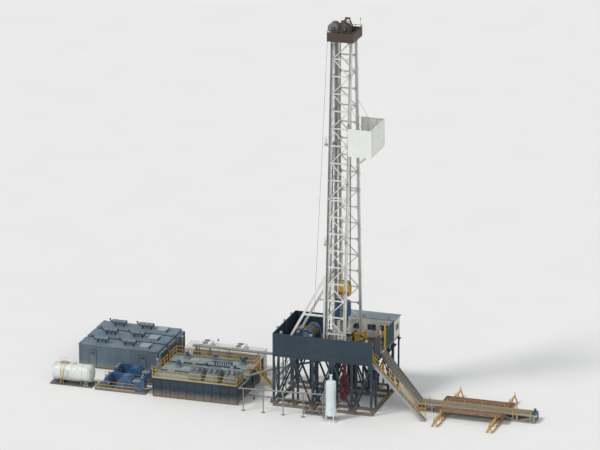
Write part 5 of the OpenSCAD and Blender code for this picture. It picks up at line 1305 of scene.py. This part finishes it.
def shaker_details(p):
    """Screens, springs and motors of the shakers, and the desilter."""
    for i in range(3):
        p.at(TANK_X1 - 1.0 - i * 1.25, TANK_Y[0] + 0.12, TANK_TOP + 0.0005)
        # Screens in the basket, one above the next
        for a in (0.06, 0.34, 0.62):
            p.hexa([(x, y, 0.51 + (y - 0.02) * 0.37 + dz) for dz in (0, 0.02)
                    for x, y in ((0.06, a), (0.84, a), (0.84, a + 0.26), (0.06, a + 0.26))], "steel")
        # Basket side plates, springs, motors and discharge lip
        for x in (0.03, 0.855):
            p.box((x, 0.014, 0.42), (x + 0.015, 0.986, 0.47), "gantry")
            for y in (0.15, 0.85):
                for j in range(5):
                    ring(p, (x + 0.007, y, 0.3 + j * 0.022), 0.045, 0.03, 0.01, "bright", 14)
        for x in (0.25, 0.65):
            for j in range(7):
                p.rod((x, 0.26 + j * 0.04, 0.76), (0, 0.012, 0), 0.093, "blue", 18)
            p.rod((x, 0.22, 0.76), (0, 0.025, 0), 0.07, "grey", 16)
            p.box((x - 0.05, 0.36, 0.6), (x + 0.05, 0.46, 0.7), "gantry")
        p.box((-0.01, -0.06, 0.3), (0.91, 0, 0.34), "gantry")
        lip = [(0, 0), (0.9, 0), (0.9, 0.2), (0, 0.2)]
        p.plate(lip, (0, -0.04, 0.12), (1, 0, 0), (0, -0.35, 0.94), 0.012, "gantry")
        for k in range(4):
            p.rod((0.1 + k * 0.23, -0.004, 0.2), (0, -0.01, 0), 0.014, "bright", 6)
        # Box lid and its handle
        p.box((-0.01, 1.02, 0.64), (0.91, 1.3, 0.655), "roof")
        p.rod((0.3, 1.16, 0.67), (0.3, 0, 0), 0.01, "bright", 6)
    # Desilter on the middle tank
    p.at(-9.0, TANK_Y[1] + 0.6, TANK_TOP)
    for x in spread(0.1, 1.22, 7):
        p.tube((x, 0, 0.75), (x, 0, 0.35), 0.055, "blue", 14, 0.02)
        p.rod((x, 0, 0.75), UP * 0.11, 0.055, "blue", 14)
    for y, z in ((-0.12, 0.82), (0.12, 0.9)):
        p.tube((-0.05, y, z), (1.38, y, z), 0.045, "grey", 14)
    for x in (0, 1.3):
        p.stand((x, 0, 0), (0.05, 0.05, 0.86), "gantry")
    p.box((0, -0.16, 0.14), (1.3, 0.16, 0.3), "gantry")


def pump_details(p):
    """Motors, guards, covers, liners, strainers and pipes of the mud pumps, and the mud line's unions."""
    for yc in PUMP_Y:
        # Motors with fins and cowls
        for dy in (-0.25, 0.25):
            p.at(PUMP_X + 0.775, yc + dy)
            for y in spread(-0.2, 0.2, 10):
                p.rod((0, y - 0.006, 0.509), (0, 0.012, 0), 0.25, "blue", 26)
            p.cube((0, 0, 0.8), (0.23, 0.26, 0.16), "blue")
            p.rod((0, 0, 0.88), UP * 0.12, 0.1, "grey", 18)
            p.rod((0, 0, 1.0), UP * 0.02, 0.12, "grey", 18)
        # Belt guard ribs, power end covers and their upper bolts
        p.at(PUMP_X, yc)
        p.slats(0, spread(0.67, 2.28, 7), 0.01, (0.61, 0.2), (0.618, 0.93), "dark")
        p.at(PUMP_X + 2.1, yc, 0.589)
        for s in (-1, 1):
            for c in circle(0.42, 16, 1):
                if c.z > 0.011:
                    p.rod(c + Vector((0, s * 0.45, 0)), (0, s * 0.015, 0), 0.016, "bright", 6)
            p.rod((0, s * 0.45, 0), (0, s * 0.03, 0), 0.2, "blue", 26)
        p.at(PUMP_X, yc)
        p.box((1.85, -0.3, 1.045), (2.35, 0.3, 1.07), "blue")
        p.box((2.42, -0.28, 0.72), (3.05, 0.28, 0.735), "grey")
        # Pony rods, liners and valve covers
        for dy in (-0.22, 0.0, 0.22):
            p.at(PUMP_X + 2.76, yc + dy, 0.489)
            p.rod((0, 0, 0), (0.34, 0, 0), 0.068, "bright", 16)
            for x in (0.06, 0.16, 0.26):
                p.rod((x, 0, 0), (0.02, 0, 0), 0.085, "blue", 16)
            for x in (0.42, 0.6):
                p.rod((x, 0, 0.306), UP * 0.045, 0.055, "bright", 6)
            for z in (-0.189, 0.011, 0.191):
                p.rod((0.68, 0, z), (0.025, 0, 0), 0.05, "blue", 18)
                p.studs((0, 0, z), 0, 0.04, 6, 0.68, 0.715, 0.007, "bright")
        # Pulsation damper's bolts and cap, and the relief line
        p.at(PUMP_X + 3.27, yc)
        p.studs((0, 0, 0), 2, 0.1, 16, 0.86, 0.9, 0.012, "bright")
        p.rod((0, 0, 0.87), UP * 0.015, 0.13, "blue", 24)
        p.rod((0, 0, 1.15), UP * 0.05, 0.03, "yellow", 10)
        p.tube((0, -0.05, 1.2), (0, 0.05, 1.2), 0.05, "yellow", 16)
        p.sweep([(0, -0.33, 0.26), (0, -0.5, 0.26), (-0.07, -0.56, 0.3), (-0.27, -0.58, 0.4),
                 (-1.27, -0.6, 0.42), (-2.07, -0.6, 0.42)], 0.025, "grey", 10)
        # Skid plates and rail
        p.at(PUMP_X, yc)
        for y in (-0.63, 0.63):
            p.slats(0, spread(0.1, 3.5, 10), 0.01, (y - 0.012, 0.02), (y + 0.012, 0.15), "dark")
        p.box((0.004, -0.626, 0.15), (3.596, 0.626, 0.162), "dark")
        p.rail([(0.05, -0.62, 0.162), (2.9, -0.62, 0.162)], 0.5, "yellow", 0.9, 0.012)
        # Suction pipe from the tanks' header
        p.at(PUMP_X + 3.5, yc - 0.3)
        p.sweep([(0, 0, 0.33), (0.2, 0, 0.36), (0.35, 0, 0.42), (0.52, 0, 0.42)], 0.065, "grey", 14)
        p.flange((0.18, 0, 0.355), (1, 0, 0.1), 0.1, 0.04, "grey", 8)
    # Hammer unions on the mud line and its supports
    for x in spread(-12.3, -1.2, 9):
        p.at(x, *MUD_LINE)
        p.tube((-0.03, 0, 0), (0.03, 0, 0), 0.062, "grey", 16)
        for a in (0.5, 2.6, 4.7):
            p.cube(polar(0.07, a, 0), (0.04, 0.03, 0.03), "grey")
        p.stand((0.24, 0, -0.26), (0.08, 0.14, 0.215), "dark")


# Power


def container(p, lo, hi, doors, wall, leaf):
    """A corrugated house between two corners, with framed edges and doors: their wall, start and end."""
    long, high = hi[0] - lo[0], hi[2] - lo[2]
    pitch = 0.11
    for y, side in ((lo[1], -1), (hi[1], 1)):
        p.at(lo[0], y, lo[2])
        own = [(a - lo[0], b - lo[0]) for s, a, b in doors if s == side]
        for k in range(int((long - 0.16) / pitch)):
            x = 0.1 + k * pitch
            if not any(a - 0.04 < x < b + 0.02 for a, b in own):
                rib(p, x + 0.0325, 0, (0, side, 0), 0.09, high - 0.07, wall)
        for a in (0, long - 0.08):
            p.box((a, 0, 0), (a + 0.08, side * 0.024, high), wall)
        for a, b in ((0.003, 0.08), (high - 0.06, high - 0.003)):
            p.box((0.01, 0, a), (long - 0.01, side * 0.021, b), wall)
        for a, b in own:
            p.box((a, 0, 0.06), (b, side * 0.02, 1.2), leaf)
            for x in (a - 0.02, b):
                p.box((x, 0, 0.05), (x + 0.02, side * 0.03, 1.21), "dark")
            p.box((a - 0.024, 0, 1.2), (b + 0.024, side * 0.033, 1.224), "dark")
            p.rod((b - 0.06, side * 0.028, 0.55), UP * 0.13, 0.008, "bright", 6)
            p.slats(2, spread(0.91, 1.07, 4), 0.01, (a + 0.08, side * 0.02), (b - 0.08, side * 0.028), "dark")


def generator_details(p):
    """Skin, radiators, intakes, exhausts and roof vents of the generator houses."""
    long, wide = GENERATOR_LONG, GENERATOR_WIDE
    for x0, y0 in GENERATORS:
        doors = [(-1, -18.6, -18.15), (-1, -15.0, -14.55), (1, -17.0, -16.5), (1, -14.6, -14.15)]
        container(p, (x0, y0, 0.15), (x0 + long, y0 + wide, 1.65), doors, "house", "house")
        # Radiator: frame and grille bars
        p.at(x0 + long + 0.2595, y0)
        for y in (0.083, 1.307):
            p.box((0, y, 0.21), (0.027, y + 0.06, 1.55), "dark")
        for z in (0.2, 1.5):
            p.box((0, 0.08, z), (0.03, 1.37, z + 0.06), "dark")
        p.slats(2, spread(0.306, 1.466, 28), 0.006, (0, 0.14), (0.018, 1.31), "dark")
        # Closed rear end with a louvred intake
        p.at(x0, y0)
        p.box((0, 0.1, 0.25), (-0.02, 1.35, 1.55), "house")
        p.slats(2, spread(0.6125, 1.3625, 15), 0.0125, (-0.04, 0.25), (-0.02, 1.2), "dark")
        # Roof ribs and lifting eyes
        p.slats(0, spread(0.1, 5.55, 26), 0.012, (-0.03, 1.699), (wide + 0.03, 1.712), "roof")
        for x in (0.1, 5.6):
            for y in (0.1, 1.35):
                p.tube((x, y, 1.699), (x, y, 1.76), 0.03, "dark", 10)
        # Silencers with bands, feet and a rain cap
        for share in (0.25, 0.6):
            p.at(x0 + long * share, y0 + wide / 2, 2.0)
            for x in (-0.51, -0.17, 0.17, 0.49):
                p.rod((x, 0, 0), (0.02, 0, 0), 0.158, "exhaust", 24)
            p.sweep([(-0.5, 0, 0), (-0.6, 0, 0), (-0.68, 0, 0.06), (-0.7, 0, 0.15)], 0.05, "exhaust", 12)
            p.tube((-0.7, 0, 0.15), (-0.72, 0, 0.19), 0.06, "exhaust", 12)
            p.slats(0, (-0.3, 0.3), 0.02, (-0.12, -0.301), (0.12, -0.14), "dark")
        # Roof vent: a cowl with slats
        p.at(x0 + 4.6, y0 + 0.72)
        p.box((-0.3, -0.4, 1.699), (0.3, 0.4, 1.83), "roof")
        p.box((-0.34, -0.44, 1.83), (0.34, 0.44, 1.85), "roof")
        for way in (-1, 1):
            for z in spread(1.725, 1.805, 4):
                p.plate([(0, 0), (0.7, 0), (0.7, 0.022), (0, 0.022)], (way * 0.3, -0.35, z), (0, 1, 0),
                        (way * 0.5, 0, -0.8), 0.004, "dark")
        # Tow bars
        p.at(x0, y0)
        for x in (-0.02, long + 0.28):
            p.tube((x, 0.094, 0.1), (x, 1.356, 0.1), 0.035, "dark", 12)


def control_details(p):
    """Skin, doorway, roof coolers and steps of the control house, and its duct to the rig floor."""
    x0, y0, x1, y1 = CONTROL
    doors = [(-1, -11.7, -11.2), (-1, -8.3, -7.8), (1, -9.9, -9.3)]
    container(p, (x0, y0, 0.15), (x1, y1, 1.55), doors, "cream", "grey")
    p.at()
    p.slats(0, spread(x0, x1, 24), 0.012, (y0 - 0.03, 1.6), (y1 + 0.03, 1.612), "roof")
    for a in (0.9, 3.3):
        p.at(x0 + a, y0, 1.64)
        for j in range(8):
            p.box((-0.01, 0.3 + j * 0.12, 0), (0, 0.34 + j * 0.12, 0.22), "dark")
            p.box((0.05 + j * 0.09, 0.24, 0), (0.08 + j * 0.09, 0.25, 0.22), "dark")
        for y in (0.5, 1.0):
            p.at(x0 + a + 0.4, y0 + y, 1.9)
            ring(p, (0, 0, 0), 0.2, 0.17, 0.02, "dark", 28)
            for c in circle(0.16, 5):
                p.beam((0, 0, 0.005), c + UP * 0.008, 0.06, 0.005, "dark")
    # Steps to the open door, its frame and the ribs beside it
    p.at(x1, y0)
    for j in range(2):
        p.box((0.02, 0.3, 0.14 - 0.07 * j), (0.2 + 0.14 * j, 0.78, 0.15 - 0.07 * j), "dark")
    for y in (0.28, 0.776):
        p.box((-0.055, y, 0.15), (0.012, y + 0.024, 1.21), "grey")
    p.box((-0.058, 0.277, 1.196), (0.015, 0.803, 1.22), "grey")
    p.slats(1, spread(0.925, 1.465, 7), 0.025, (0, 0.24), (0.014, 1.48), "cream")
    # Covered duct on trestles, and the closed duct up to the floor
    left, right, half = -11.6, -4.4, 0.14
    p.at(0, DUCT_Y, DUCT_Z)
    for y in (-half, half):
        p.beam((left, y, 0), (right, y, 0), 0.02, 0.09, "galv")
    covers = spread(left, right, 6)
    for a, b in zip(covers, covers[1:]):
        p.box((a + 0.01, -half - 0.015, 0.045), (b - 0.01, half + 0.015, 0.053), "galv")
        p.slats(0, (a + 0.06, b - 0.06), 0.02, (-half - 0.02, -0.05), (half + 0.02, 0.057), "bright")
    p.box((left, -half, -0.03), (right, half, -0.024), "galv")
    p.box((-4.62, -half - 0.026, -0.06), (-4.3, half + 0.026, 0.11), "grey")
    p.box((-4.56, -half, 0.11), (-4.36, half, 1.71), "galv")
    p.slats(2, spread(0.35, 1.55, 4), 0.02, (-4.575, -half - 0.015), (-4.3, half + 0.015), "bright")
    for x in (-11.2, -9.0, -6.9, -4.9):
        p.at(x, DUCT_Y)
        for y in (-half, half):
            for foot, deep in ((-0.14, 0.03), (0.14, 0.026)):
                p.beam((foot, y, 0.002), (0, y, DUCT_Z - 0.04), 0.03, deep, "galv", (0, 1, 0))
            p.stand((0, y, 0), (0.34, 0.06, 0.012), "galv")
        p.beam((0, -half, DUCT_Z - 0.06), (0, half, DUCT_Z - 0.06), 0.04, 0.04, "galv")
    for x in (-11.4, -10.4):
        p.at(x, DUCT_Y + half, DUCT_Z)
        p.box((-0.08, -0.06, -0.5), (0.08, 0.017, -0.03), "galv")
        p.box((-0.076, 0, -0.62), (0.076, 0.2, -0.46), "galv")


def fuel_details(p):
    """Bands, manhole, vent, walkway, ladder and pump of the fuel tank."""
    r = 0.62
    p.at(*FUEL_TANK)
    for x in (-1.18, -0.76, 0.0, 0.76, 1.18):
        p.tube((x - 0.02, 0, 0), (x + 0.02, 0, 0), r + 0.006, "fuel", 48)
    p.tube((0, 0, r - 0.03), (0, 0, r + 0.09), 0.2, "fuel", 28)
    p.flange((0, 0, r + 0.1), UP, 0.23, 0.02, "fuel", 12)
    p.tube((0.7, 0, r - 0.02), (0.7, 0, r + 0.18), 0.03, "grey", 10)
    p.sweep([(0.7, 0, r + 0.18), (0.74, 0, r + 0.24), (0.8, 0, r + 0.2)], 0.03, "grey", 10)
    p.box((-0.9, -0.2, r), (-0.3, 0.2, r + 0.02), "galv")
    p.rail([(-0.88, -0.2, r + 0.02), (-0.32, -0.2, r + 0.02)], 0.4, "yellow", 0.3, 0.01)
    p.at(*FUEL_TANK[:2])
    for x in (-0.72, -0.5):
        p.sweep([(x, -0.64, 0.1), (x, -0.64, 0.9), (x, -0.5, 1.3), (x, -0.2, 1.46)], 0.011, "yellow", 8)
    for j in range(8):
        p.rod((-0.72, -0.64, 0.2 + j * 0.12), (0.22, 0, 0), 0.008, "yellow", 6)
    # Sight tube, transfer pump and its suction pipe
    p.tube((1.3, -0.5, 0.4), (1.3, -0.5, 1.25), 0.012, "glass", 8)
    p.box((0.9, -0.58, 0.1), (1.25, -0.34, 0.2), "grey")
    p.rod((0.92, -0.46, 0.29), (0.3, 0, 0), 0.085, "blue", 18)
    p.sweep([(0.9, -0.46, 0.29), (0.8, -0.46, 0.3), (0.72, -0.4, 0.34), (0.7, -0.3, 0.4)], 0.03, "grey", 10)


# Travelling block and top drive


def hoist_details(p):
    """Cheek covers, stripes and bolts of the block; fins, covers, links and gooseneck of the top drive."""
    p.at(z=BLOCK)
    stripe = [(-0.06, -0.12), (0.01, -0.12), (0.07, 0.12), (0, 0.12)]
    for s in (-1, 1):
        p.rod((0, s * 0.245, 0), (0, s * 0.017, 0), 0.16, "yellow", 28)
        p.studs((0, 0, 0), 1, 0.13, 12, s * 0.262, s * 0.272, 0.012, "bright")
        for x in spread(-0.31, 0.29, 4):
            p.plate(stripe, (x, s * 0.2475, -0.45), (1, 0, 0), UP, 0.004, "dark")
        for x in (-0.36, 0.36):
            for z in (0.1, -0.15, -0.57):
                p.rod((x, s * 0.245, z), (0, s * 0.017, 0), 0.02, "bright", 6)
    for a in spread(0.5, 2.64, 6):
        across(p.tube, polar(0.412, a, 1), 0.2, 0.012, "bright", 8)
    # Top drive: motor fins, blower, gear covers and bolts
    p.at(z=TOP_DRIVE)
    for z in spread(-1.05, -0.3, 15):
        p.rod((0.15, 0, z), UP * 0.012, 0.272, "blue", 30)
    p.rod((0.15, 0, -0.2), UP * 0.08, 0.2, "grey", 26)
    for s in (-1, 1):
        for z0, z1 in ((-1.2, -0.75), (-0.68, -0.25)):
            p.box((-0.25, s * 0.33, z0), (0.2, s * 0.345, z1), "grey")
            for x in (-0.2, 0.15):
                for z in (z0 + 0.05, z1 - 0.05):
                    p.rod((x, s * 0.345, z), (0, s * 0.008, 0), 0.012, "bright", 6)
        # Elevator links' eyes and carriage shoes
        for z, r in ((-1.68, 0.08), (-2.72, 0.07)):
            p.tube((-0.015, s * 0.194, z), (-0.015, s * 0.266, z), r, "bright", 18)
        for z in (-1.45, -0.2):
            p.box((-0.635, s * 0.15, z), (-0.52, s * 0.19, z + 0.14), "dark")
    # Elevator, pipe handler's collar and shaft
    for z, h, r, mat, n in ((-2.856, 0.132, 0.15, "bright", 26), (-1.72, 0.1, 0.25, "grey", 30),
                            (-2.05, 0.1, 0.12, "bright", 24)):
        p.rod((0, 0, z), UP * h, r, mat, n)
    # Gooseneck that a rotary hose would join
    neck = ((-0.1, -0.2), (-0.18, -0.02), (-0.3, 0.03), (-0.4, -0.05), (-0.42, -0.2))
    p.sweep([(0, y, z) for y, z in neck], 0.045, "steel", 12)
    p.flange((0, -0.42, -0.22), UP, 0.075, 0.03, "steel", 6)


def hoist_ropes(p):
    """The eight lines between crown and block."""
    pitch = 0.075
    for i in range(4):
        y = (i - 1.5) * pitch
        for s in (-1, 1):
            x = s * 0.3593
            p.tube((x, y, BLOCK), (x, y + s * pitch / 2, SHAFT), 0.009, "rope", 10)


make("mast_gussets", mast_details)
make("mast_services", mast_services)
make("ladder_cage", ladder_cage)
make("crown_details", crown_details)
make("racking_details", racking_details)
make("floor_tools", floor_details)
make("drawworks_details", drawworks_details)
make("wind_wall_details", wall_details)
make("substructure_details", substructure_details)
make("stair_details", stair_details)
make("doghouse_details", doghouse_details, replaces=("doghouse_windows",))
make("pipe_handling_details", pipe_handling_details)
make("pipe_tool_joints", pipe_ends)
make("preventer_details", preventer)
make("separator_details", well_details)
make("tank_details", tank_details)
make("shaker_details", shaker_details)
make("pump_details", pump_details)
make("generator_details", generator_details)
make("control_house_details", control_details)
make("fuel_tank_details", fuel_details)
make("hoist_details", hoist_details, body="travelling_block")

# The eight lines between crown and block, with a mesh of their own, in place of the CAD's lines
ropes = make("hoist_ropes", hoist_ropes, replaces=("hoist_lines",))
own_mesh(ropes)

bpy.context.scene.view_settings.view_transform = "Standard"
